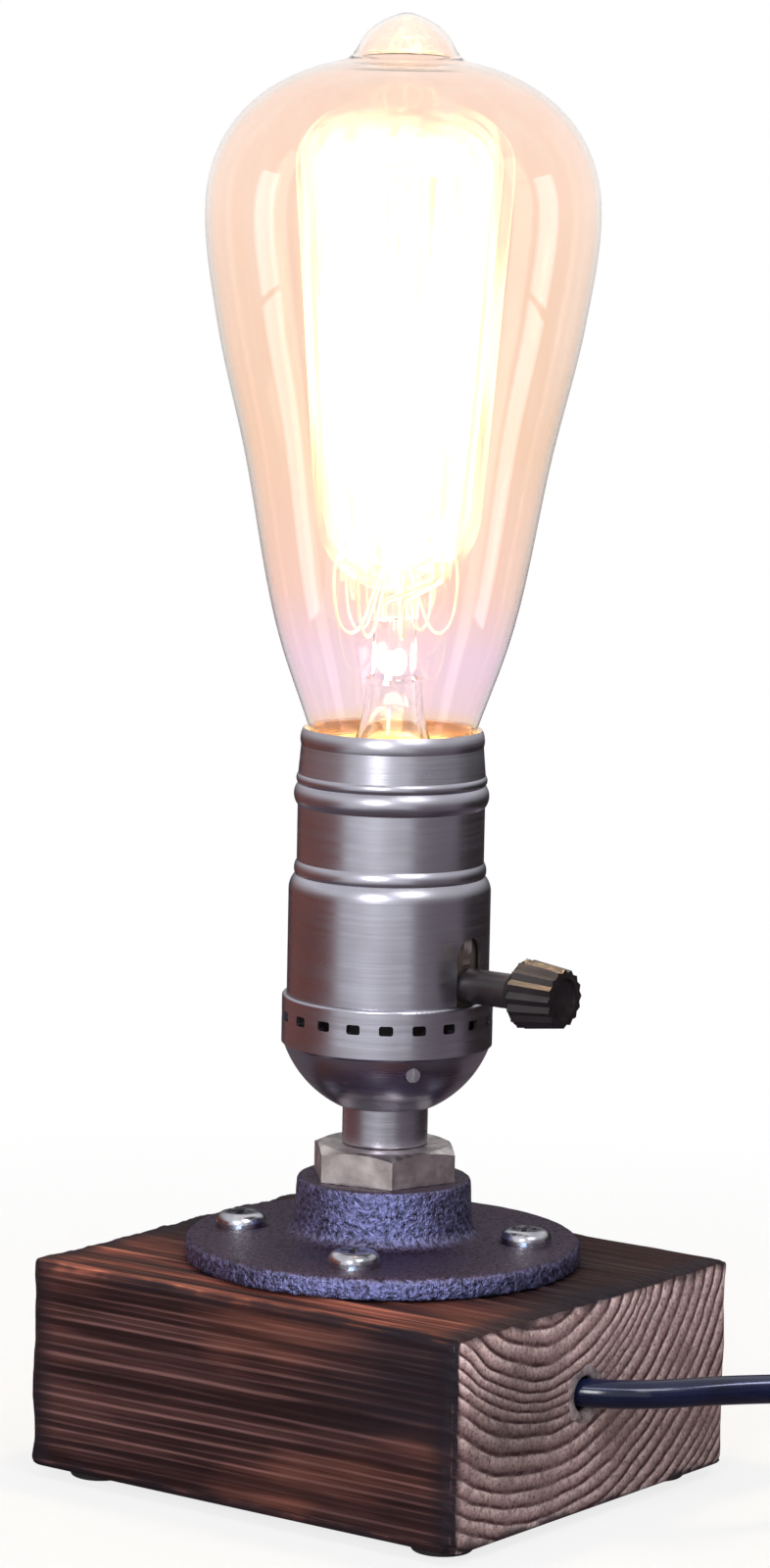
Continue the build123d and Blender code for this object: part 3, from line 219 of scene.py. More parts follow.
class Finish:
    """A material with a Principled shader and short ways to add nodes to it."""

    def __init__(self, name, **sockets):
        self.material = bpy.data.materials.new(name)
        self.material.use_nodes = True
        self.tree = self.material.node_tree
        self.surface = self.tree.nodes["Principled BSDF"]
        self.spot = self.add("TexCoord").outputs["Object"]
        for socket, value in sockets.items():
            self.put(self.surface.inputs[socket.replace("_", " ")], value)

    def put(self, socket, value):
        """Set a socket to a number or colour, or link it to another socket."""
        if isinstance(value, bpy.types.NodeSocket):
            self.tree.links.new(value, socket)
        elif isinstance(value, tuple) and len(value) == 3 and socket.type == "RGBA":
            socket.default_value = (*value, 1)
        else:
            socket.default_value = value

    def add(self, kind, *inputs, **settings):
        """Add a shader node, set its own settings, and fill its inputs in order."""
        node = self.tree.nodes.new("ShaderNode" + kind)
        for setting, value in settings.items():
            setattr(node, setting, value)
        for socket, value in zip(node.inputs, inputs):
            if value is not None:
                self.put(socket, value)
        return node

    def math(self, operation, a, b=None, c=None):
        """One step of arithmetic on sockets or numbers."""
        return self.add("Math", a, b, c, operation=operation).outputs[0]

    def times(self, a, b):
        """Two sockets or numbers multiplied."""
        return self.math("MULTIPLY", a, b)

    def minus(self, a, b):
        """The second of two sockets or numbers taken from the first."""
        return self.math("SUBTRACT", a, b)

    def axes(self, source="Object"):
        """The X, Y and Z of object coordinates, or of another source such as Normal."""
        return self.add("SeparateXYZ", self.add("TexCoord").outputs[source]).outputs

    def stretched(self, x, y, z):
        """Object coordinates multiplied along each axis."""
        return self.add("VectorMath", self.spot, (x, y, z), operation="MULTIPLY").outputs[0]

    def noise(self, size, detail=2.0, where=None, roughness=0.5):
        """Cloudy noise whose lumps are about size metres across."""
        node = self.add("TexNoise")
        self.put(node.inputs["Vector"], where or self.spot)
        node.inputs["Scale"].default_value = 1 / size
        node.inputs["Detail"].default_value = detail
        node.inputs["Roughness"].default_value = roughness
        return node.outputs["Fac"]

    def between(self, value, low, high, to_low=0.0, to_high=1.0, way="SMOOTHSTEP"):
        """A value brought from one range to another, and held inside it."""
        node = self.add("MapRange", value, low, high, to_low, to_high, interpolation_type=way)
        return node.outputs[0]

    def ramp(self, value, *stops):
        """A colour ramp through (place, colour) stops."""
        node = self.add("ValToRGB", value)
        elements = node.color_ramp.elements
        while len(elements) < len(stops):
            elements.new(1.0)
        for element, (place, colour) in zip(elements, stops):
            element.position = place
            element.color = (*colour, 1)
        return node.outputs["Color"]

    def blend(self, noise, dark, light):
        """From one colour to another over most of a noise."""
        low, high = NOISE_SPAN
        return self.ramp(noise, (low, dark), (high, light))

    def vary(self, noise, low, high):
        """From one value to another over most of a noise."""
        return self.between(noise, *NOISE_SPAN, low, high)

    def mix(self, share, a, b, blend="MIX"):
        """Two colours mixed by a share from 0 to 1."""
        node = self.add("Mix", data_type="RGBA", blend_type=blend)
        first, second = (socket for socket in node.inputs if socket.type == "RGBA")
        self.put(node.inputs["Factor"], share)
        self.put(first, a)
        self.put(second, b)
        return next(socket for socket in node.outputs if socket.type == "RGBA")

    def bump(self, height, depth, strength=1.0):
        """Relief of so many metres in the shader's normal."""
        node = self.add("Bump")
        node.inputs["Strength"].default_value = strength
        node.inputs["Distance"].default_value = depth
        self.put(node.inputs["Height"], height)
        self.put(self.surface.inputs["Normal"], node.outputs["Normal"])

    def wear(self, socket, value):
        """Fill one of the Principled shader's own sockets."""
        self.put(self.surface.inputs[socket], value)

    def show(self, shader):
        """Show another shader node in place of the Principled one."""
        self.put(self.tree.nodes["Material Output"].inputs["Surface"], shader.outputs[0])


def dress(finish, *names):
    """Give a finish to solids that keep their CAD shape."""
    for name in names:
        solid = solids[name]
        solid.data.materials.clear()
        solid.data.materials.append(finish.material)


print("a noise is spread over", NOISE_SPAN)

# %% [markdown]
# ## Floor and surroundings
#
# The photograph was cut out on white, so the surroundings have to look white without
# flooding the lamp with light. Light Path splits the two jobs: rays from the camera, and
# rays that mirror off metal or pass through glass, see a white of strength 1, while the
# rays that light the lamp see a plainer fill. The floor mixes a little real shading into
# its white, so that the lamp still has a soft shadow to stand on.

# %% White surroundings
WHITE = (1, 1, 1)
FILL_STRENGTH = 0.42


def seen_share(tree):
    """A socket that is 1 on rays that show a surface: from the camera, off metal, through glass."""
    path = tree.nodes.new("ShaderNodeLightPath")
    seen = path.outputs["Is Camera Ray"]
    for kind in ("Is Glossy Ray", "Is Transmission Ray"):
        either = tree.nodes.new("ShaderNodeMath")
        either.operation = "MAXIMUM"
        tree.links.new(seen, either.inputs[0])
        tree.links.new(path.outputs[kind], either.inputs[1])
        seen = either.outputs[0]
    return seen


world = bpy.data.worlds.new("white_room")
world.use_nodes = True
scene.world = world
room = world.node_tree
room_mix = room.nodes.new("ShaderNodeMixShader")
room.links.new(seen_share(room), room_mix.inputs[0])
room_fill, room_white = room.nodes["Background"], room.nodes.new("ShaderNodeBackground")
for place, backdrop, strength in ((1, room_fill, FILL_STRENGTH), (2, room_white, 1.0)):
    backdrop.inputs["Color"].default_value = (*WHITE, 1)
    backdrop.inputs["Strength"].default_value = strength
    room.links.new(backdrop.outputs[0], room_mix.inputs[place])
room.links.new(room_mix.outputs[0], room.nodes["World Output"].inputs["Surface"])
print("fill light:", FILL_STRENGTH)

# %% Floor
FLOOR_SIZE = 12.0
FLOOR_NEAR = 0.08
FLOOR_FAR = 0.30
FLOOR_NEAR_WHITE = 0.80
FLOOR_GREY = (0.86, 0.86, 0.86)


def plane(name, centre, across, upward):
    """A flat rectangle from its centre and two half sides."""
    mesh = bpy.data.meshes.new(name)
    signs = ((-1, -1), (1, -1), (1, 1), (-1, 1))
    mesh.from_pydata([centre + across * a + upward * b for a, b in signs], [], [(0, 1, 2, 3)])
    sheet = new_object(name, mesh)
    return sheet


half_floor = FLOOR_SIZE / 2
floor = plane("floor", Vector(), Vector((half_floor, 0, 0)), Vector((0, half_floor, 0)))
paint = Finish("floor_white", Base_Color=FLOOR_GREY, Roughness=0.9, Specular_IOR_Level=0.0)
from_lamp = paint.add("VectorMath", paint.spot, operation="LENGTH").outputs["Value"]
white_share = paint.between(from_lamp, FLOOR_NEAR, FLOOR_FAR, FLOOR_NEAR_WHITE, 1.0, "LINEAR")
white_share = paint.times(white_share, seen_share(paint.tree))
shaded, plain_white = paint.surface.outputs[0], paint.add("Emission", WHITE, 1.0).outputs[0]
paint.show(paint.add("MixShader", white_share, shaded, plain_white))
floor.data.materials.append(paint.material)
print("floor:", FLOOR_SIZE, "m square")

# %% [markdown]
# ## Light
#
# A broad softbox in front, a little to the left, draws the bright line down the lampholder,
# and one from above and to the right gives the block its shape. Both are aimed at the middle
# of the lamp. Large soft lights close by are what a small product is usually shot with: they
# leave no hard shadow to cut out.

# %% Softboxes
LAMP_MIDDLE = Vector((0, 0, 0.13))
SOFTBOXES = [  # name, bearing from the camera, distance, height, size, watts
    ("front_box", -18, 1.3, 0.55, (0.30, 0.5), 9.0),
    ("top_box", 30, 1.2, 1.2, (0.7, 0.7), 8.0),
]
camera_bearing = math.degrees(math.atan2(CAMERA_AT.y, CAMERA_AT.x))


def outward(bearing):
    """The level direction from the lamp at a bearing from the camera, positive to the right."""
    angle = math.radians(camera_bearing + bearing)
    return Vector((math.cos(angle), math.sin(angle), 0))


def softbox(name, bearing, distance, height, size, watts, aim=LAMP_MIDDLE):
    """A rectangular area lamp that no camera sees, at a bearing and height, aimed at a point."""
    data = bpy.data.lights.new(name, "AREA")
    data.shape = "RECTANGLE"
    data.size, data.size_y = size
    data.energy = watts
    box = new_object(name, data)
    box.location = outward(bearing) * distance + Vector((0, 0, height))
    box.rotation_euler = (aim - box.location).to_track_quat("-Z", "Y").to_euler()
    box.visible_camera = False
    return box


for box_settings in SOFTBOXES:
    softbox(*box_settings)
print("softboxes:", len(SOFTBOXES))

# %% [markdown]
# ## Cards for the metal
#
# Plated metal in an all-white room looks like chalk, because a mirror has no colour of its
# own. Photographers stand dark and tinted cards beside it, and the edges of the metal turn
# dark where they mirror the cards. Four cards stand round the lamp and one lies on the floor.
# They show only in mirrors: they cast no light and no shadow, and no camera sees them from
# any side. The standing ones fade to white at their top, so that the bulb mirrors no edge.

# %% Cards
CARD_AWAY = 0.25
CARD_FADE = 0.10
CARD_TOP = 0.22
CARDS = [  # name, bearing from the camera, half its angle of view, colour
    ("brown_card", -112, 54, (0.27, 0.100, 0.078)),
    ("grey_card", 58, 32, (0.25, 0.21, 0.235)),
    ("dark_card", 127, 37, (0.03, 0.020, 0.018)),
    ("back_card", 180, 42, (0.04, 0.034, 0.045)),
]
FLOOR_CARD_UP = 0.2 * MM
FLOOR_CARD_TINT = (0.165, 0.13, 0.15)


def mirror_only(sheet, colour):
    """Make a stage plane glow in a colour that fades to white with height, for mirrors alone."""
    for seen_by in ("camera", "diffuse", "transmission", "volume_scatter", "shadow"):
        setattr(sheet, "visible_" + seen_by, False)
    skin = Finish(sheet.name)
    skin.material.cycles.emission_sampling = "NONE"
    fade = skin.between(skin.axes()["Z"], CARD_FADE, CARD_TOP, way="LINEAR")
    skin.show(skin.add("Emission", skin.ramp(fade, (0.0, colour), (1.0, WHITE)), 1.0))
    sheet.data.materials.append(skin.material)


for name, bearing, half_angle, colour in CARDS:
    out = outward(bearing)
    across = Vector((-out.y, out.x, 0)) * CARD_AWAY * math.tan(math.radians(half_angle))
    upward = Vector((0, 0, CARD_TOP / 2))
    mirror_only(plane(name, out * CARD_AWAY + upward, across, upward), colour)
across, upward = Vector((CARD_AWAY, 0, 0)), Vector((0, CARD_AWAY, 0))
floor_card = plane("floor_card", Vector((0, 0, FLOOR_CARD_UP)), across, upward)
mirror_only(floor_card, FLOOR_CARD_TINT)
print("cards:", len(CARDS) + 1)

# %% [markdown]
# ## Lamps for one piece each
#
# Each streak on the bulb is the mirror image of a bright strip, and the line of light along
# the cord is the image of a long box. Lamps that bright would wash out everything else, so
# light linking keeps each one to a collection of pieces that it may light. A strip is split
# into two panes, so that its streak has a break, as from a window with a bar. The boxes over
# the cord are a cool blue, like daylight beside the warm bulb.

# %% Bright strips
STRIP_AWAY = 0.94 * CARD_AWAY  # just inside the cards
STRIP_W = 0.062
STRIP_WATTS = 8.0  # a square metre
STRIP_BEARINGS = {"left": -83, "right": 88}
STRIP_PANES = [(0.04, 0.134), (0.137, 0.29)]
streak_glass = bpy.data.collections.new("streak_glass")


def keep_to(lamp, group, tint=WHITE):
    """Tint a lamp and let it light only the pieces of a collection."""
    lamp.data.color = tint
    lamp.light_linking.receiver_collection = group


for side_name, bearing in STRIP_BEARINGS.items():
    for number, (low, top) in enumerate(STRIP_PANES, 1):
        middle = (low + top) / 2
        size = (STRIP_W, top - low)
        watts = STRIP_WATTS * STRIP_W * (top - low)
        name = f"{side_name}_strip_{number}"
        strip = softbox(name, bearing, STRIP_AWAY, middle, size, watts, Vector((0, 0, middle)))
        keep_to(strip, streak_glass)
print("strips:", len(STRIP_BEARINGS) * len(STRIP_PANES))

# %% Long boxes over the cord
CORD_SPOT = Vector((0.058, 0.014, 0.022))
CORD_TINT = (0.66, 0.70, 1.0)
CORD_BOXES = [  # columns as in SOFTBOXES
    ("cord_front_box", 5, 0.36, 0.46, (0.9, 0.07), 2.4),
    ("cord_side_box", 72, 0.45, 0.42, (0.8, 0.07), 4.4),
]
cord_shine = bpy.data.collections.new("cord_shine")
cord_shine.objects.link(cord)

for box_settings in CORD_BOXES:
    keep_to(softbox(*box_settings, CORD_SPOT), cord_shine, CORD_TINT)
print("cord boxes:", len(CORD_BOXES))

# %% [markdown]
# ## Pewter plate
#
# The cap, the neck and the shell are spun or drawn from sheet and plated a dark pewter. Spun
# metal keeps fine rings from the tool, and a thumb leaves soft cloudy patches, so the colour
# and the roughness both vary a little. A flat grey would look like paint.

# %% Pewter
LAP_FADE = 0.2 * MM
PEWTER_TONES = (0.37, 0.365, 0.42), (0.46, 0.46, 0.54)
TOOL_RING = (0.25, 0.235, 0.26)
# near black: painted shade on the shell where the cap's lap covers it
LAP_PAINTED_SHADE = (0.012, 0.010, 0.011)


def pewter_plate(name, painted_shade_below=None):
    """Satin pewter with fine rings; below a given height, painted shade makes the plate near black."""
    metal = Finish(name, Metallic=1.0)
    rings = metal.noise(0.9 * MM, 3, metal.stretched(0.02, 0.02, 1), 0.6)
    colour = metal.blend(metal.noise(11 * MM), *PEWTER_TONES)
    colour = metal.mix(metal.vary(rings, 0.0, 0.35), colour, TOOL_RING)
    # painted shade: under the top of the cap the shell is coloured near black, so the cap's slots show dark
    if painted_shade_below:
        lap_shade_share = metal.between(metal.axes()["Z"], painted_shade_below, painted_shade_below - LAP_FADE)
        colour = metal.mix(lap_shade_share, colour, LAP_PAINTED_SHADE)
    metal.wear("Base Color", colour)
    metal.wear("Roughness", metal.vary(rings, 0.27, 0.36))
    metal.bump(rings, 0.04 * MM, 0.6)
    return metal


cap_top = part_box("socket_cap")[1].z
pewter = pewter_plate("pewter_plate")
dress(pewter, "cap_neck", "socket_cap")
dress(pewter_plate("pewter_shell", cap_top), "socket_shell")
print("pewter nodes:", len(pewter.tree.nodes))

# %% [markdown]
# ## Small metals
#
# Screws, nut and threaded tube are zinc plated and bright; the hexagon bushing and the strap
# are a duller, warmer zinc; the contacts are drawn brass, and the bulb's tip is solder. All
# four are one recipe with other colours: a cloud for the colour, a cloud for the gloss, and a
# very fine grain in relief.

# %% Zinc, brass and solder
STAIN_SIZE = 3.5 * MM
GLOSS_SIZE = 1.8 * MM
PLATE_GRAIN = 0.4 * MM
PLATE_RELIEF = 0.02 * MM


def plated(name, dark, light, gloss, dull):
    """A plated or drawn metal with soft stains and a fine grain."""
    metal = Finish(name, Metallic=1.0)
    metal.wear("Base Color", metal.blend(metal.noise(STAIN_SIZE, 3), dark, light))
    metal.wear("Roughness", metal.vary(metal.noise(GLOSS_SIZE), gloss, dull))
    metal.bump(metal.noise(PLATE_GRAIN), PLATE_RELIEF, 0.6)
    return metal


# dark and light tone, then roughness where glossy and where dull
zinc = plated("bright_zinc", (0.26, 0.26, 0.30), (0.56, 0.56, 0.61), 0.16, 0.30)
pale_zinc = plated("pale_zinc", (0.42, 0.37, 0.37), (0.74, 0.68, 0.67), 0.28, 0.45)
brass = plated("drawn_brass", (0.60, 0.40, 0.16), (0.80, 0.60, 0.28), 0.22, 0.36)
solder = plated("dull_solder", (0.42, 0.42, 0.43), (0.60, 0.60, 0.61), 0.35, 0.5)
dress(zinc, "flange_screws", "threaded_nipple", "nipple_nut", "cap_screw", "detent_spring")
dress(pale_zinc, "hex_bushing", "core_strap")
dress(brass, "centre_contact", "terminal_plates", "terminal_screws", "switch_shaft", "plug_blades")
dress(solder, "bulb_tip")
print("metals:", [metal.material.name for metal in (zinc, pale_zinc, brass, solder)])

# %% [markdown]
# ## Mouldings, rubber and sheath
#
# The knob and the switch core are moulded, the feet are rubber and the cord has a smooth soft
# sheath. None of them is simply black: a moulding has a skin with faint flow marks, rubber is
# dusty, and a sheath is shiny with a slow ripple.

# %% Mouldings
FLOW_LENGTH = 6


def moulded(name, dark, light, gloss, dull, lumps, depth):
    """A moulded skin with lumps of a size and depth, and flow marks some lumps long."""
    skin = Finish(name)
    flow = skin.noise(lumps * FLOW_LENGTH, 3)
    skin.wear("Base Color", skin.blend(flow, dark, light))
    skin.wear("Roughness", skin.vary(flow, gloss, dull))
    skin.bump(skin.noise(lumps), depth, 0.5)
    return skin


# dark and light tone, roughness where glossy and where dull, size and depth of the lumps
bakelite_tones = (0.008, 0.006, 0.008), (0.020, 0.015, 0.018)
bakelite = moulded("black_bakelite", *bakelite_tones, 0.28, 0.40, 0.0008, 0.00003)
phenolic = moulded("brown_phenolic", (0.05, 0.035, 0.03), (0.085, 0.062, 0.05), 0.40, 0.55, 0.0006, 0.00003)
fibre = moulded("pressed_fibre", (0.34, 0.26, 0.18), (0.47, 0.38, 0.28), 0.7, 0.85, 0.0004, 0.00004)
rubber = moulded("dusty_rubber", (0.016, 0.016, 0.017), (0.035, 0.034, 0.034), 0.6, 0.8, 0.0005, 0.00004)
sheath = moulded("black_sheath", (0.003, 0.004, 0.012), (0.005, 0.007, 0.022), 0.08, 0.15, 0.0012, 0.00002)
sheath.wear("Specular IOR Level", 0.35)
white_sheath = moulded("white_sheath", (0.66, 0.65, 0.61), (0.78, 0.77, 0.73), 0.35, 0.5, 0.001, 0.00003)
dress(bakelite, "switch_knob", "bulb_insulator")
dress(phenolic, "core_lower", "core_upper", "switch_rotor")
dress(fibre, "shell_liner")
dress(rubber, "rubber_feet", "coil_ties")
dress(sheath, "cord_inside", "live_lead", "plug_body")
dress(white_sheath, "neutral_lead")
cord_curve.materials.append(sheath.material)
moulded_skins = (bakelite, phenolic, fibre, rubber, sheath, white_sheath)
print("mouldings:", [skin.material.name for skin in moulded_skins])

# %% [markdown]
# ## Cast iron
#
# The flange is poured in sand, so its skin is a field of small lumps. Bump alone would leave
# its outline as smooth as glass, so a copy of the solid is remeshed into even half-millimetre
# faces and each point is pushed in along its normal by a little noise. The level top mirrors
# the white surroundings and would turn pale, so painted shade makes its colour darker there.
# A cool lamp that lights the flange alone gives its rim a bluish sheen.

# %% Helpers for uneven skins
RIPPLE_WAVES = 9


def even_skin(node, voxel):
    """A copy of a solid with its surface divided into even faces of about voxel metres."""
    blank = new_object("blank", solids[node].data.copy())
    remesh = blank.modifiers.new("even", "REMESH")
    remesh.mode = "VOXEL"
    remesh.voxel_size = voxel
    ready = blank.evaluated_get(bpy.context.evaluated_depsgraph_get())
    mesh = bpy.data.meshes.new_from_object(ready)
    bpy.data.objects.remove(blank)
    mesh.materials.clear()
    mesh.shade_smooth()
    return mesh


def rows_of(mesh, kind):
    """Every point's place ("co") or normal as an array of rows."""
    values = np.empty(len(mesh.vertices) * 3)
    mesh.vertices.foreach_get(kind, values)
    return values.reshape(-1, 3)


def move_points(mesh, points):
    """Write moved points back to a mesh."""
    mesh.vertices.foreach_set("co", points.ravel())
    mesh.update()


def ripple(points, size, seed):
    """Smooth unevenness from -1 to 1 whose waves are about size metres long."""
    draw = np.random.default_rng(seed)
    total = np.zeros(len(points))
    for _ in range(RIPPLE_WAVES):
        way = draw.normal(size=3)
        way *= 2 * np.pi / size / np.linalg.norm(way)
        total += np.sin(points @ way + draw.uniform(0, 2 * np.pi))
    return np.clip(total / RIPPLE_WAVES * 2, -1, 1)


print("waves in a ripple:", RIPPLE_WAVES)

# %% Cast the flange
CAST_VOXEL = 0.5 * MM
CAST_DEPTH = 0.10 * MM
CAST_LUMPS = [(2.2 * MM, 3), (5.0 * MM, 4)]  # size, seed
cast_mesh = even_skin("pipe_flange", CAST_VOXEL)
cast_points, cast_normals = rows_of(cast_mesh, "co"), rows_of(cast_mesh, "normal")
cast_lumps = sum(ripple(cast_points, size, seed) for size, seed in CAST_LUMPS) / len(CAST_LUMPS)
cast_points += cast_normals * (CAST_DEPTH * (cast_lumps - 1) / 2)[:, None]
move_points(cast_mesh, cast_points)
flange = add_piece("cast_flange", cast_mesh, "lamp", "black_iron", "pipe_flange")
print("flange faces:", len(cast_mesh.polygons))

# %% Iron skin and its lamp
IRON_DARK = (0.036, 0.032, 0.056)
IRON_LIGHT = (0.20, 0.180, 0.33)
# colour of the painted shade on the flange's level top
IRON_TOP_PAINTED_SHADE = (0.040, 0.016, 0.030)
IRON_TINT = (0.42, 0.68, 1.0)
IRON_SPOT = Vector((0, 0, 0.05))
IRON_BOX = ("iron_box", -8, 0.8, 0.10, (0.30, 0.18), 6.0)  # columns as in SOFTBOXES
iron_shine = bpy.data.collections.new("iron_shine")
iron_shine.objects.link(flange)
keep_to(softbox(*IRON_BOX, IRON_SPOT), iron_shine, IRON_TINT)

iron = Finish("black_cast_iron", Metallic=0.85)
iron_sand = iron.noise(0.8 * MM, 3, roughness=0.65)
iron_skin = iron.ramp(iron_sand, (0.36, IRON_DARK), (0.68, IRON_LIGHT))
# painted shade: faces that look upwards are coloured darker, so they mirror less of the white
top_painted_shade_share = iron.between(iron.axes("Normal")["Z"], 0.6, 0.95, 0.0, 0.76)
iron.wear("Base Color", iron.mix(top_painted_shade_share, iron_skin, IRON_TOP_PAINTED_SHADE))
iron.wear("Roughness", iron.vary(iron_sand, 0.22, 0.5))
iron.bump(iron_sand, 0.6 * MM, 0.9)
cast_mesh.materials.append(iron.material)
print("iron nodes:", len(iron.tree.nodes))

# %% [markdown]
# ## Charred pine
#
# The block was scorched and brushed, which burns and scrapes away the soft early wood and
# leaves the hard rings standing as ridges. The rings run round a pith that lies outside the
# block, above its front edge, so the end grain shows arcs and the long faces show stripes.
# The same distance from that pith shapes the relief of the mesh here and the colours of the
# finish in the next step, so ridges and lines of colour run the same way.

# %% Raise the grain
PITH_Y = -15.0 * MM
PITH_Z = 56.0 * MM
RING_W = 2.4 * MM
RING_WANDER = 0.5 * MM
RING_WAVE = 16 * MM
RING_STRETCH = (0.12, 1, 1)
RING_SWINGS = [(1.1 * MM, 5.3 * MM), (0.6 * MM, 2.7 * MM)]
RIDGE_AT = 0.8
RIDGE_HALF = 0.22
GRAIN_VOXEL = 0.5 * MM
GRAIN_DEPTH = 0.32 * MM
END_GRAIN_SHARE = 0.06
FIBRE_DEPTH = 0.14 * MM
FIBRE_WAVE = 2.5 * MM
EDGE_NIBBLE = 0.7 * MM
EDGE_REACH = 3.0 * MM
EDGE_WAVE = 9 * MM
SKIN_DEPTH = 1.3 * MM
FACING = 0.7
RING_SEED, FIBRE_SEED, EDGE_SEED = 11, 12, 13
block_low, block_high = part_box("base_block")

block_mesh = even_skin("base_block", GRAIN_VOXEL)
grain_points, grain_normals = rows_of(block_mesh, "co"), rows_of(block_mesh, "normal")
along_grain = grain_points * np.array(RING_STRETCH)
from_pith = np.hypot(grain_points[:, 1] - PITH_Y, grain_points[:, 2] - PITH_Z)
from_pith += RING_WANDER * ripple(along_grain, RING_WAVE, RING_SEED)
for swing, length in RING_SWINGS:
    from_pith += swing * np.sin(from_pith / length)
ridges = np.clip(1 - np.abs(from_pith / RING_W % 1.0 - RIDGE_AT) / RIDGE_HALF, 0, 1)
end_grain = np.abs(grain_normals[:, 0]) > FACING
depth = GRAIN_DEPTH * (1 - ridges) * np.where(end_grain, END_GRAIN_SHARE, 1.0)
depth += FIBRE_DEPTH * (1 + ripple(along_grain, FIBRE_WAVE, FIBRE_SEED)) / 2
to_faces = np.stack(
    [
        block_high.x - np.abs(grain_points[:, 0]),
        block_high.y - np.abs(grain_points[:, 1]),
        np.minimum(block_high.z - grain_points[:, 2], grain_points[:, 2] - block_low.z),
    ]
)
to_face, to_edge, _ = np.sort(to_faces, axis=0)
uneven = ripple(grain_points, EDGE_WAVE, EDGE_SEED)
nibble = np.clip(1 - to_edge / EDGE_REACH, 0, 1) * (1 + uneven) / 2
depth += EDGE_NIBBLE * nibble
depth[(to_face > SKIN_DEPTH) | (grain_normals[:, 2] < -FACING)] = 0
grain_points -= grain_normals * depth[:, None]
move_points(block_mesh, grain_points)
add_piece("charred_block", block_mesh, "lamp", "charred_pine", "base_block")
print("block faces:", len(block_mesh.polygons))

# %% [markdown]
# ## Colours of the pine
#
# Three things set the colour at a point: how far it is from the pith, which gives the rings;
# which way its face looks, because end grain takes the flame differently from long grain;
# and how near it is to an edge, because edges burn first. On the long faces the brush has
# scraped the ridges clean, so they are paler than the char between them. The end grain is
# darker round one spot near its front edge and paler towards its top. The nearest edge is
# found with a small trick: of the three distances to the block's faces, the middle one is
# the distance to the edge.

# %% Rings, fibres and scorch patches
pine = Finish("charred_pine", Specular_IOR_Level=0.12)
axes = pine.axes()
side = pine.minus(axes["Y"], PITH_Y)
rise = pine.minus(axes["Z"], PITH_Z)
reach = pine.math("SQRT", pine.math("MULTIPLY_ADD", side, side, pine.times(rise, rise)))
wander = pine.noise(RING_WAVE, 2, pine.stretched(*RING_STRETCH))
reach = pine.math("ADD", reach, pine.between(wander, 0.25, 0.75, -RING_WANDER, RING_WANDER))
for swing, length in RING_SWINGS:
    wave = pine.math("SINE", pine.math("DIVIDE", reach, length))
    reach = pine.math("MULTIPLY_ADD", wave, swing, reach)
ring = pine.math("FRACT", pine.math("DIVIDE", reach, RING_W))
fibres = pine.noise(0.6 * MM, 3, pine.stretched(0.03, 1, 1), 0.6)
streaks = pine.noise(3.0 * MM, 3, pine.stretched(0.04, 1, 1), 0.6)
patches = pine.noise(22 * MM, 2, pine.stretched(0.5, 1, 1))
scorch = pine.noise(9 * MM, 3)
speckle = pine.noise(0.7 * MM)
print("ring width:", RING_W)

# %% Long grain
CHAR = (0.017, 0.006, 0.007)
BROWN = (0.074, 0.031, 0.030)
LINE = (0.160, 0.080, 0.078)
EMBER = (0.28, 0.095, 0.066)
BLUE_CHAR = (0.013, 0.010, 0.016)
BLUE_X = (6 * MM, 34 * MM)
BLUE_Z = (12 * MM, 24 * MM)
BLUE_MOST = 0.75
LINE_CORE = 0.25
LINE_HALF = 0.6 * RIDGE_HALF
SECOND_AT, SECOND_HALF, SECOND_SHARE = 0.32, 0.10, 0.6


def line_at(place, half):
    """A thin line at one place of every ring."""
    off = pine.math("ABSOLUTE", pine.minus(ring, place))
    return pine.between(off, half, half * LINE_CORE)


second_lines = pine.times(line_at(SECOND_AT, SECOND_HALF), SECOND_SHARE)
lines = pine.math("MAXIMUM", line_at(RIDGE_AT, LINE_HALF), second_lines)
lines = pine.times(lines, pine.between(streaks, 0.36, 0.60, 0.10, 1.0))
soft_wood = pine.mix(pine.between(streaks, 0.40, 0.72), CHAR, BROWN)
spared = pine.between(streaks, 0.36, 0.6, 0.10, 0.42)
spared = pine.times(pine.between(patches, 0.50, 0.66), spared)
long_grain = pine.mix(spared, pine.mix(lines, soft_wood, LINE), EMBER)
blue_share = pine.times(pine.between(axes["X"], *BLUE_X), pine.between(axes["Z"], *BLUE_Z))
blue_share = pine.times(blue_share, BLUE_MOST)
long_grain = pine.mix(blue_share, long_grain, BLUE_CHAR)
print("long grain mixed")

# %% Top and end grain
TOP_RED = (0.24, 0.074, 0.056)
TOP_LINE = (0.47, 0.18, 0.12)
TOP_DARK = (0.040, 0.026, 0.030)
END_PALE = (0.54, 0.42, 0.42)
END_WARM = (0.33, 0.225, 0.225)
END_MID = (0.19, 0.122, 0.126)
END_DARK = (0.050, 0.020, 0.023)
END_PATCH = (44 * MM, -22 * MM, 22 * MM)
PATCH_SPAN = (5 * MM, 18 * MM)
PATCH_TONE = (0.5, 1.0)
RISE_SPAN = (18 * MM, 34 * MM)
RISE_TONE = (1.04, 1.45)
# where the painted light on the top fades in, from its middle to its front edge
TOP_PAINTED_LIGHT_Y = (-6 * MM, -30 * MM)

faces = pine.axes("Normal")
top_share = pine.between(faces["Z"], 0.5, 0.9)
end_share = pine.between(pine.math("ABSOLUTE", faces["X"]), 0.55, 0.85)
top_wood = pine.mix(lines, pine.mix(pine.between(streaks, 0.35, 0.6), CHAR, TOP_RED), TOP_LINE)
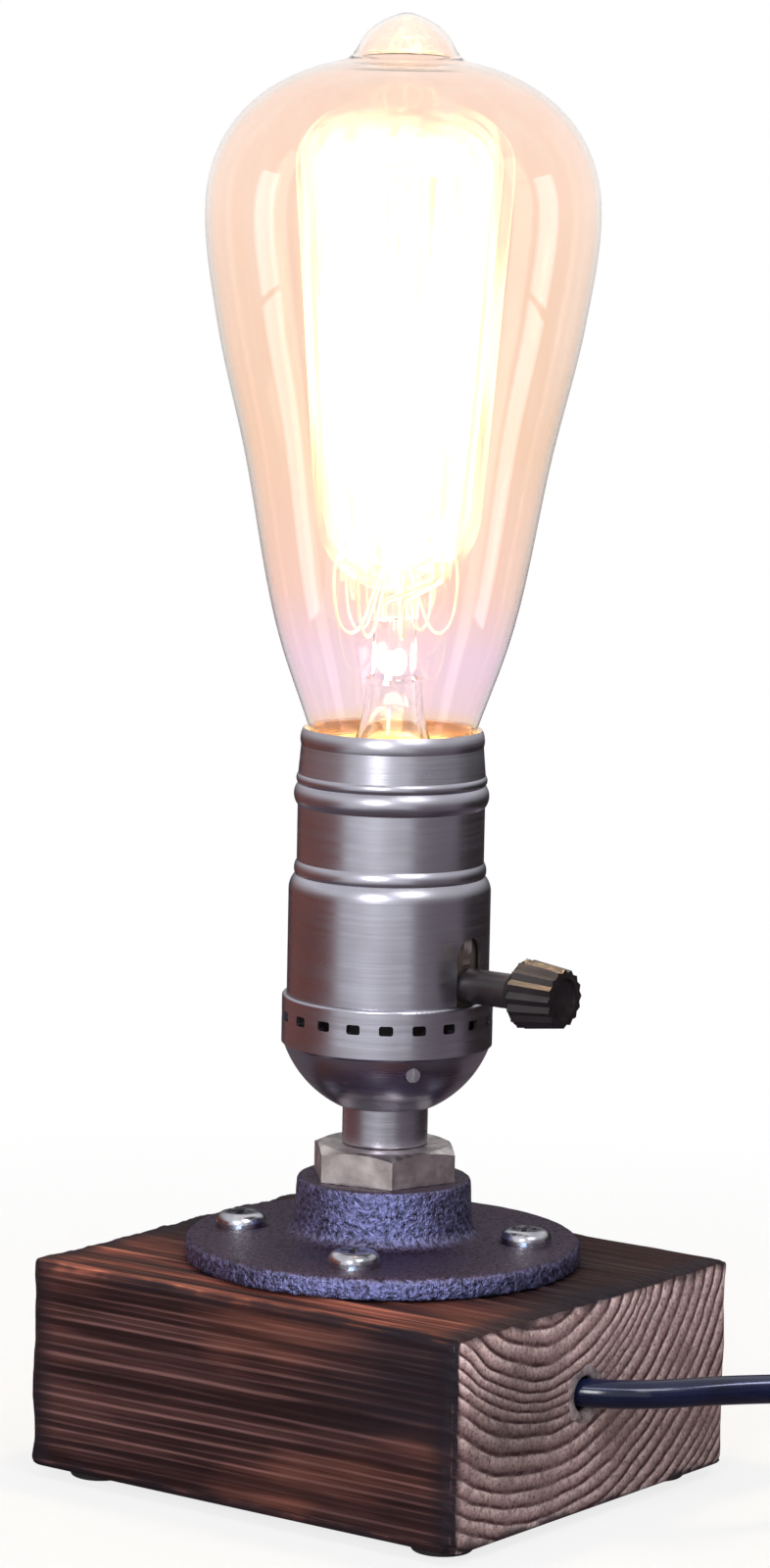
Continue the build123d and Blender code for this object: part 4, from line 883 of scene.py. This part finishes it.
# painted light: towards the front edge the top is coloured as lit, red with pale lines; behind it, as
# shaded char with dark lines; patches break up the lit part
painted_light_share = pine.between(axes["Y"], *TOP_PAINTED_LIGHT_Y)
painted_light_share = pine.times(painted_light_share, pine.between(patches, 0.3, 0.55, 0.35, 1.0))
top_wood = pine.mix(painted_light_share, pine.mix(lines, CHAR, TOP_DARK), top_wood)
ring_stops = [(0.0, END_PALE), (0.35, END_WARM), (0.55, END_MID)]
ring_stops += [(0.68, END_DARK), (0.82, END_DARK), (0.93, END_PALE)]
end_ring = pine.ramp(ring, *ring_stops)
broken = pine.noise(1.6 * MM, 3, roughness=0.7)
end_ring = pine.mix(pine.between(broken, 0.46, 0.68, 0.0, 0.6), end_ring, END_MID)
end_wood = pine.mix(pine.between(scorch, 0.42, 0.72, 0.0, 0.65), end_ring, END_MID)
end_wood = pine.mix(pine.between(speckle, 0.5, 0.75, 0.0, 0.5), end_wood, END_DARK)
from_patch = pine.add("VectorMath", pine.spot, END_PATCH, operation="DISTANCE").outputs["Value"]
end_tone = pine.between(from_patch, *PATCH_SPAN, *PATCH_TONE)
end_tone = pine.times(end_tone, pine.between(axes["Z"], *RISE_SPAN, *RISE_TONE))
end_wood = pine.mix(1.0, end_wood, end_tone, "MULTIPLY")
wood = pine.mix(end_share, pine.mix(top_share, long_grain, top_wood), end_wood)
print("top and end grain mixed")

# %% Burnt edges and fine fibres
BURN_REACH = (0.6 * MM, 3.5 * MM)
CORNER_SPAN = (7 * MM, 2 * MM)
BURN_MOST = 0.85
gap_x = pine.minus(block_high.x, pine.math("ABSOLUTE", axes["X"]))
gap_y = pine.minus(block_high.y, pine.math("ABSOLUTE", axes["Y"]))
gap_up = pine.minus(block_high.z, axes["Z"])
gap_down = pine.minus(axes["Z"], block_low.z)
gap_z = pine.math("MINIMUM", gap_up, gap_down)
low_pair = pine.math("MINIMUM", gap_x, gap_y)
high_pair = pine.math("MAXIMUM", gap_x, gap_y)
edge_gap = pine.math("MAXIMUM", low_pair, pine.math("MINIMUM", high_pair, gap_z))
burn_reach = pine.vary(scorch, *BURN_REACH)
burnt = pine.between(pine.math("DIVIDE", edge_gap, burn_reach), 1.0, 0.2)
corner = pine.between(gap_x, *CORNER_SPAN)
corner = pine.times(corner, pine.minus(1.0, end_share))
burnt = pine.times(pine.math("MAXIMUM", burnt, corner), BURN_MOST)
wood = pine.mix(burnt, wood, BLUE_CHAR)
wood = pine.mix(pine.between(fibres, 0.45, 0.75, 0.0, 0.6), wood, CHAR)
pine.wear("Base Color", wood)
pine.wear("Roughness", pine.vary(fibres, 0.50, 0.75))
pine.bump(fibres, 0.3 * MM, 0.6)
block_mesh.materials.append(pine.material)
print("pine nodes:", len(pine.tree.nodes))

# %% [markdown]
# ## Filler round the cord
#
# A smear of grey filler closes the drilled hole round the cord, so that the cord is held and
# no light shows past it. It is a low ring: a closed outline turned about the hole's axis, with
# its outer edge wandering a little, as a fingertip leaves it.

# %% Smear the filler
HOLE_AT = Vector((block_high.x, -4.0 * MM, 21.7 * MM))
FILLER_BORE = 3.0  # this and the outline's (radius, height) points in millimetres
FILLER_OUTLINE = [(FILLER_BORE, -2.5), (FILLER_BORE, -0.15)]
FILLER_OUTLINE += [(3.5, 0.12), (4.4, 0.10), (5.2, -0.30), (4.0, -2.5)]
FILLER_STEPS = 72
FILLER_WANDER = 0.12
FILLER_DARK = (0.10, 0.075, 0.080)
FILLER_LIGHT = (0.27, 0.22, 0.235)

corners = len(FILLER_OUTLINE)
filler_points, filler_faces = [], []
for step in range(FILLER_STEPS):
    turn = 2 * math.pi * step / FILLER_STEPS
    wave = math.sin(3 * turn) + math.sin(5 * turn + 1)
    here, after = step * corners, (step + 1) % FILLER_STEPS * corners
    for now, (radius, out) in enumerate(FILLER_OUTLINE):
        then = (now + 1) % corners
        filler_faces.append((here + now, after + now, after + then, here + then))
        grown = radius + FILLER_WANDER * (radius - FILLER_BORE) * wave
        spot = Vector((out, grown * math.cos(turn), grown * math.sin(turn)))
        filler_points.append(HOLE_AT + MM * spot)
filler_mesh = bpy.data.meshes.new("cord_filler")
filler_mesh.from_pydata(filler_points, [], filler_faces)
filler_mesh.shade_smooth()
add_piece("cord_filler", filler_mesh, "lamp", "fibre_sleeve")
filler = Finish("grey_filler")
smear = filler.noise(1.6 * MM, 3)
filler.wear("Base Color", filler.ramp(smear, (0.35, FILLER_DARK), (0.65, FILLER_LIGHT)))
filler.wear("Roughness", filler.vary(smear, 0.25, 0.5))
filler.bump(smear, 0.3 * MM, 0.7)
filler_mesh.materials.append(filler.material)
print("filler faces:", len(filler_faces))

# %% [markdown]
# ## Bulb glass
#
# A blown bulb is a surface of revolution, so its half outline is drawn once and turned round
# the axis. The outline goes up the outside, over the sealed nub, and back down the inside,
# which gives the wall its real thickness; glass without a second surface refracts like a
# solid lump. The outline passes through the same points as the CAD solid.

# %% Outline of the glass
rim_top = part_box("socket_shell")[1].z
glass_low, glass_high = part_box("bulb_glass")
GLASS_T = 0.8 * MM
GLASS_NECK_R = 12.4 * MM
GLASS_SIDE = [(13.75, 0.0), (18.5, 13.6), (25.1, 45.4), (29.9, 66.4)]
GLASS_WIDE_H = 83.3 * MM
CROWN_RISE = 25.6 * MM
CROWN_POWER = 2.25
NUB_FOOT_R = 9.6 * MM
NUB_SIDE = [(6.1, 4.7), (2.4, 6.9), (0.0, 7.5)]
BASE_TOP_DROP = 4.1 * MM
glass_r = glass_high.x


def smooth_line(points, leaving, arriving, steps=9):
    """Points of a smooth line through (radius, height) points, with its end directions given."""
    spots = [Vector(point) for point in points]
    gaps = [(b - a).length for a, b in zip(spots, spots[1:])]
    ways = [Vector(leaving).normalized()]
    for here in range(1, len(spots) - 1):
        before = (spots[here] - spots[here - 1]) / gaps[here - 1]
        after = (spots[here + 1] - spots[here]) / gaps[here]
        ways.append((before * gaps[here] + after * gaps[here - 1]) / (gaps[here] + gaps[here - 1]))
    ways.append(Vector(arriving).normalized())
    line = []
    for here, gap in enumerate(gaps):
        start, end = spots[here], spots[here + 1]
        handles = (start + ways[here] * gap / 3, end - ways[here + 1] * gap / 3)
        line += interpolate_bezier(start, *handles, end, steps + 1)[:-1]
    return line + [spots[-1]]


def crown_line(reach, rise, steps=24):
    """The crown from its widest place up to the nub's foot, fuller than an ellipse."""
    line = []
    for step in range(1, steps + 1):
        angle = math.pi / 2 * step / steps
        radius = reach * math.cos(angle) ** (2 / CROWN_POWER)
        height = rise * math.sin(angle) ** (2 / CROWN_POWER)
        if radius < NUB_FOOT_R:
            break
        line.append(Vector((radius, rim_top + GLASS_WIDE_H + height)))
    return line


def glass_wall(inset):
    """The bulb's side from its neck to its widest place, moved inwards by inset."""
    points = [(GLASS_NECK_R - inset, rim_top - BASE_TOP_DROP)]
    points += [(r * MM - inset, rim_top + h * MM) for r, h in GLASS_SIDE]
    points.append((glass_r - inset, rim_top + GLASS_WIDE_H))
    foot = Vector((GLASS_NECK_R - inset, glass_low.z))
    return [foot] + smooth_line(points, (0, 1), (0, 1))


crown = crown_line(glass_r, CROWN_RISE)
nub_foot = crown[-1]
nub_points = [nub_foot]
nub_points += [nub_foot + Vector((r * MM - nub_foot.x, h * MM)) for r, h in NUB_SIDE]
nub = smooth_line(nub_points, (-1, 0.5), (-1, 0))
glass_outline = glass_wall(0) + crown + nub[1:]
inner_outline = glass_wall(GLASS_T) + crown_line(glass_r - GLASS_T, CROWN_RISE - GLASS_T)
nub_shrink = 1 - GLASS_T / NUB_FOOT_R
inner_outline += [Vector((point.x * nub_shrink, point.y - GLASS_T)) for point in nub[1:]]
print("glass outline points:", len(glass_outline) + len(inner_outline))

# %% Turn the glass
SHARP_ANGLE = math.radians(50)
ON_AXIS = 1e-7


def lathe(name, outline, steps=128):
    """A mesh turned round the Z axis from (radius, height) points; points on the axis are shared."""
    points, rows, faces = [], [], []
    for radius, height in outline:
        if radius < ON_AXIS:
            rows.append([len(points)] * steps)
            points.append((0, 0, height))
            continue
        rows.append(list(range(len(points), len(points) + steps)))
        for step in range(steps):
            angle = 2 * math.pi * step / steps
            points.append((radius * math.cos(angle), radius * math.sin(angle), height))
    for lower, upper in zip(rows, rows[1:]):
        for step in range(steps):
            turn = (step + 1) % steps
            corners = [lower[step], lower[turn], upper[turn], upper[step]]
            face = list(dict.fromkeys(corners))
            if len(face) > 2:
                faces.append(face)
    mesh = bpy.data.meshes.new(name)
    mesh.from_pydata(points, [], faces)
    mesh.shade_smooth()
    mesh.set_sharp_from_angle(angle=SHARP_ANGLE)
    mesh.update()
    return mesh


glass_mesh = lathe("bulb_glass_blown", glass_outline + inner_outline[::-1] + [glass_outline[0]])
glass = add_piece("blown_bulb", glass_mesh, "bulb", "amber_glass", "bulb_glass")
glass.visible_shadow = False
streak_glass.objects.link(glass)
print("glass faces:", len(glass_mesh.polygons))

# %% Amber glass
# colour by height, with painted light in it: the orange at and below the rim is painted glow, the lilac low
# down is a painted reflection, and the glass is paler towards the nub
GLASS_TINTS_AND_PAINTED_LIGHT = [  # share of the height above the shell's rim, colour
    (0.0, (1.0, 0.80, 0.55)),
    (0.02, (0.96, 0.82, 0.85)),
    (0.10, (0.96, 0.82, 0.90)),
    (0.20, (1.0, 0.81, 0.74)),
    (0.40, (0.995, 0.82, 0.70)),
    (0.9, (0.99, 0.83, 0.74)),
    (1.0, (1.0, 0.93, 0.88)),
]
STREAK_TINT = (1.0, 0.93, 0.87)
amber = Finish("amber_glass", Roughness=0.0, IOR=1.45, Transmission_Weight=1.0)
glass_height = amber.between(amber.axes()["Z"], rim_top, glass_high.z, way="LINEAR")
glass_streaks = amber.noise(6 * MM, 2, amber.stretched(1, 1, 0.05))
streak_share = amber.between(glass_streaks, 0.48, 0.70, 0.0, 0.4)
amber.wear("Base Color", amber.mix(streak_share, amber.ramp(glass_height, *GLASS_TINTS_AND_PAINTED_LIGHT), STREAK_TINT))
glass_mesh.materials.append(amber.material)
print("glass tints:", len(GLASS_TINTS_AND_PAINTED_LIGHT))

# %% [markdown]
# ## Stem and filament
#
# The stem is drawn from clear glass and pressed flat round the lead wires. The filament is far
# brighter than a picture can show: in the photograph it has burnt out to a white column with
# yellow edges. The wire itself simply emits light, a little hotter in some places than others.

# %% Clear glass and glowing wire
STEM_TINT = (0.93, 0.97, 0.95)
FILAMENT_GLOW = 14.0
WIRE_COLD = (0.2, 0.1, 0.05)
WIRE_HEATS = (1.0, 0.55, 0.2), (1.0, 0.72, 0.36)
clear = Finish("clear_glass", Roughness=0.02, IOR=1.5, Transmission_Weight=1.0)
clear.wear("Base Color", clear.blend(clear.noise(4 * MM), STEM_TINT, WHITE))
dress(clear, "glass_stem")

lit_wire = Finish("lit_filament", Base_Color=WIRE_COLD, Roughness=0.6, Emission_Strength=FILAMENT_GLOW)
lit_wire.wear("Emission Color", lit_wire.blend(lit_wire.noise(4 * MM), *WIRE_HEATS))
dress(lit_wire, "filament")
print("filament glow:", FILAMENT_GLOW)

# %% [markdown]
# ## Hooks that hold the filament
#
# The wire hangs in hairpins between two rings of hooks. The upper hooks stick out of a glass
# bead at the top of the stem and end in a small curl. The lower ones dip below the bead and
# come up again at the ring, like the prongs of an anchor, which keeps the long wire taut as
# it grows in the heat. Each hook is a spline of one curve, with a round section.

# %% Bend the hooks
HOOK_R = 0.25 * MM
HOOK_COUNT = 8
TOP_HOOK = [(2.2, 0.0), (6.0, 1.0), (11.2, 0.9), (12.9, 0.2), (13.1, -0.7), (12.4, -1.0), (12.0, -0.4)]
LOW_HOOK = [(1.7, -1.4), (3.6, -6.0), (5.4, -12.0), (7.6, -13.6), (9.6, -11.0), (10.3, -5.0)]
LOW_HOOK += [(9.9, -0.8), (9.2, 0.1), (8.5, -0.5)]
SUPPORT_R = 0.3 * MM  # of the CAD model's straight supports, which the hooks replace
hook_low, hook_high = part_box("support_wires")
hook_turn = 2 * math.pi / HOOK_COUNT
hook_curve = round_wire("filament_hooks", resolution=6, facets=3)


def bend_hook(profile, angle, height):
    """One hook from (radius, rise) points, turned to an angle round the axis."""
    across, along = MM * math.cos(angle), MM * math.sin(angle)
    points = [(radius * across, radius * along, height + rise * MM) for radius, rise in profile]
    bend_line(hook_curve, points, HOOK_R)


for number in range(HOOK_COUNT):
    bend_hook(TOP_HOOK, (number + 0.5) * hook_turn, hook_high.z - SUPPORT_R)
    if number:  # the lead wires hold the filament where the first low hook would be
        bend_hook(LOW_HOOK, number * hook_turn, hook_low.z + SUPPORT_R)
add_piece("filament_hooks", hook_curve, "bulb", "zinc_steel", "support_wires")

# painted glow: the hooks and the lead wires are no lamps, yet they emit a faint warm light
WIRE_TONES = (0.62, 0.52, 0.40), (0.78, 0.70, 0.58)
PAINTED_GLOW_TINTS = (1.0, 0.82, 0.52), (1.0, 0.92, 0.70)
painted_glow_wire = Finish("painted_glow_wire", Metallic=1.0, Roughness=0.35, Emission_Strength=0.5)
tone_and_glow_cloud = painted_glow_wire.noise(3 * MM)
painted_glow_wire.wear("Base Color", painted_glow_wire.blend(tone_and_glow_cloud, *WIRE_TONES))
painted_glow_wire.wear("Emission Color", painted_glow_wire.blend(tone_and_glow_cloud, *PAINTED_GLOW_TINTS))
hook_curve.materials.append(painted_glow_wire.material)
dress(painted_glow_wire, "lead_wires")
print("hooks:", len(hook_curve.splines))

# %% [markdown]
# ## Glow
#
# The soft column round the wire is light that spread in the glass and in the camera. Three
# thin shells, one inside the next, are nearly clear and glow a little; each line of sight
# that crosses more shells gathers more light. The outer shell is waved round the axis, so
# that its edge breaks into strands, and a noise thins all three. Two small warm lamps on the
# axis, one amid the wire and one in the neck, light the rim of the lampholder and the top of
# the block, as the real filament does.

# %% Glow shells
GLOW_ALPHA = 0.05
GLOW_SHOULDER = 0.14
GLOW_FADE = 8.0
GLOW_STEPS = 132
GLOW_TINTS = [(0.0, (1.0, 0.86, 0.52)), (1.0, (1.0, 0.93, 0.74))]
HAZE_BASE = (1.0, 0.9, 0.7)
FLUTE_DEPTH = 0.07
FLUTE_SECOND = 0.6
FLUTE_ENDS = 6
GLOW_SHELLS = [  # radius at the top and low down, bottom and top in millimetres, strength, flutes
    (18.0, 12.2, 147.5, 228.0, 0.6, 11),
    (16.8, 11.2, 149.5, 226.5, 1.1, 0),
    (15.2, 10.0, 151.5, 225.0, 4.5, 0),
]


def glow_outline(top_r, low_r, low, top, steps=60):
    """A tall rounded outline that is wider at its top."""
    line = [Vector((0, low))]
    for step in range(1, steps):
        share = (1 - math.cos(math.pi * step / steps)) / 2
        near_end = min(share, 1 - share) / GLOW_SHOULDER
        rounding = math.sqrt(1 - (1 - min(near_end, 1)) ** 2)
        line.append(Vector(((low_r + (top_r - low_r) * share) * rounding, low + (top - low) * share)))
    return [point * MM for point in line + [Vector((0, top))]]


def flute(mesh, count, low, top):
    """Wave a turned shell in and out round the axis, and not at its two ends."""
    for vertex in mesh.vertices:
        angle = math.atan2(vertex.co.y, vertex.co.x)
        wave = math.sin(count * angle) + FLUTE_SECOND * math.sin((2 * count - 5) * angle + 1)
        wave /= 1 + FLUTE_SECOND
        share = (vertex.co.z - low) / (top - low)
        wave *= FLUTE_DEPTH * min(1, FLUTE_ENDS * share, FLUTE_ENDS * (1 - share))
        vertex.co.x *= 1 + wave
        vertex.co.y *= 1 + wave
    mesh.update()


for number, (top_r, low_r, low, top, strength, flutes) in enumerate(GLOW_SHELLS, 1):
    glow_mesh = lathe(f"glow_{number}", glow_outline(top_r, low_r, low, top), GLOW_STEPS)
    if flutes:
        flute(glow_mesh, flutes, low * MM, top * MM)
    glow = add_piece(f"filament_glow_{number}", glow_mesh, "bulb", "lit_filament")
    glow.visible_shadow = False
    haze = Finish(f"glow_haze_{number}", Base_Color=HAZE_BASE, Roughness=1.0, Specular_IOR_Level=0.0)
    haze.wear("Emission Strength", strength)
    haze_z = haze.axes()["Z"]
    haze.wear("Emission Color", haze.ramp(haze.between(haze_z, low * MM, top * MM), *GLOW_TINTS))
    strands = haze.noise(4 * MM, 2, haze.stretched(1, 1, 0.06))
    thickness = haze.between(strands, 0.38, 0.62, 0.1 * GLOW_ALPHA, 1.9 * GLOW_ALPHA)
    thickness = haze.times(thickness, haze.between(haze_z, top * MM, (top - GLOW_FADE) * MM))
    haze.wear("Alpha", thickness)
    glow_mesh.materials.append(haze.material)
print("glow shells:", len(GLOW_SHELLS))

# %% Light from the bulb itself
WARM = (1.0, 0.76, 0.44)
BULB_WATTS = 0.6
NECK_WATTS = 0.09
NECK_LIGHT_UP = 11.0 * MM


def warm_point(name, height, watts, radius):
    """A small warm lamp on the bulb's axis."""
    light = bpy.data.lights.new(name, "POINT")
    light.energy = watts
    light.color = WARM
    light.shadow_soft_size = radius
    lamp = new_object(name, light)
    lamp.location = (0, 0, height)
    lamp.visible_camera = False


warm_point("bulb_light", (hook_low.z + hook_high.z) / 2, BULB_WATTS, 9 * MM)
warm_point("neck_light", rim_top + NECK_LIGHT_UP, NECK_WATTS, 3 * MM)
solids["glass_stem"].visible_shadow = False
print("bulb watts:", BULB_WATTS + NECK_WATTS)

# %% [markdown]
# ## Rolled threads
#
# The bulb's brass cap and the sleeve that it screws into are rolled from thin sheet, so the
# same wave shows inside and outside. The CAD solids are plain sleeves at the outer size of
# the thread. Here each sleeve is turned as an outline with many rows, and every point is
# then drawn inwards by a wave that climbs one pitch a turn. Cap and sleeve share the wave,
# so they mesh at every height to which the bulb is unscrewed.

# %% Roll the threads
THREAD_PITCH = 3.629 * MM
THREAD_DEPTH = 0.8 * MM
THREAD_WALL = 0.35 * MM
THREAD_ROW = 0.3 * MM
CAP_STRAIGHT = 18.0 * MM
CAP_CONE_R = 8.3 * MM
CAP_HOLE_R = 5.4 * MM
SEAT_R = 10.0 * MM
SLEEVE_FOOT = 2.0 * MM
cap_low, cap_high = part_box("bulb_cap")
sleeve_low, sleeve_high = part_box("screw_shell")
thread_top = glass_low.z


def sleeve_rows(radius, low, top):
    """The straight side of a sleeve, from low to top, in rows fine enough for a thread."""
    count = round(abs(top - low) / THREAD_ROW)
    return [(radius, low + (top - low) * row / count) for row in range(count + 1)]


def roll_thread(mesh, low, low_share):
    """Draw the points of a straight side inwards by the thread's wave."""
    points = rows_of(mesh, "co")
    angle = np.arctan2(points[:, 1], points[:, 0])
    radius = np.hypot(points[:, 0], points[:, 1])
    height = points[:, 2]
    share = (1 - np.cos(2 * np.pi * height / THREAD_PITCH - angle)) / 2
    share *= np.clip((thread_top - height) / THREAD_PITCH, 0, 1)
    foot = np.clip((low + THREAD_PITCH / 2 - height) / (THREAD_PITCH / 2), 0, 1)
    share = share * (1 - foot) + low_share * foot
    straight = radius > cap_high.x - 2 * THREAD_WALL
    points[straight, :2] *= (1 - THREAD_DEPTH * share / radius)[straight, None]
    move_points(mesh, points)


cone_top = cap_high.z - CAP_STRAIGHT
cap_outline = [(CAP_HOLE_R, cap_low.z), (CAP_CONE_R, cap_low.z)]
cap_outline += sleeve_rows(cap_high.x, cone_top, cap_high.z)
cap_outline += sleeve_rows(cap_high.x - THREAD_WALL, cap_high.z, cone_top + THREAD_WALL / 2)
cap_floor = cap_low.z + THREAD_WALL
cap_outline += [(CAP_CONE_R - THREAD_WALL / 2, cap_floor), (CAP_HOLE_R, cap_floor)]
cap_mesh = lathe("rolled_cap", cap_outline + cap_outline[:1])
roll_thread(cap_mesh, cone_top, 1.0)
add_piece("rolled_cap", cap_mesh, "bulb", "contact_brass", "bulb_cap")

sleeve_outline = [(SEAT_R, sleeve_low.z)] + sleeve_rows(sleeve_high.x, sleeve_low.z, sleeve_high.z)
sleeve_outline += sleeve_rows(sleeve_high.x - THREAD_WALL, sleeve_high.z, sleeve_low.z + THREAD_WALL)
sleeve_outline += [(SEAT_R, sleeve_low.z + THREAD_WALL)]
sleeve_mesh = lathe("rolled_sleeve", sleeve_outline + sleeve_outline[:1])
roll_thread(sleeve_mesh, sleeve_low.z + SLEEVE_FOOT, 0.0)
add_piece("rolled_sleeve", sleeve_mesh, "lamp", "contact_brass", "screw_shell")
for rolled in (cap_mesh, sleeve_mesh):
    rolled.materials.append(brass.material)
print("thread turns:", round((thread_top - cone_top) / THREAD_PITCH, 1))
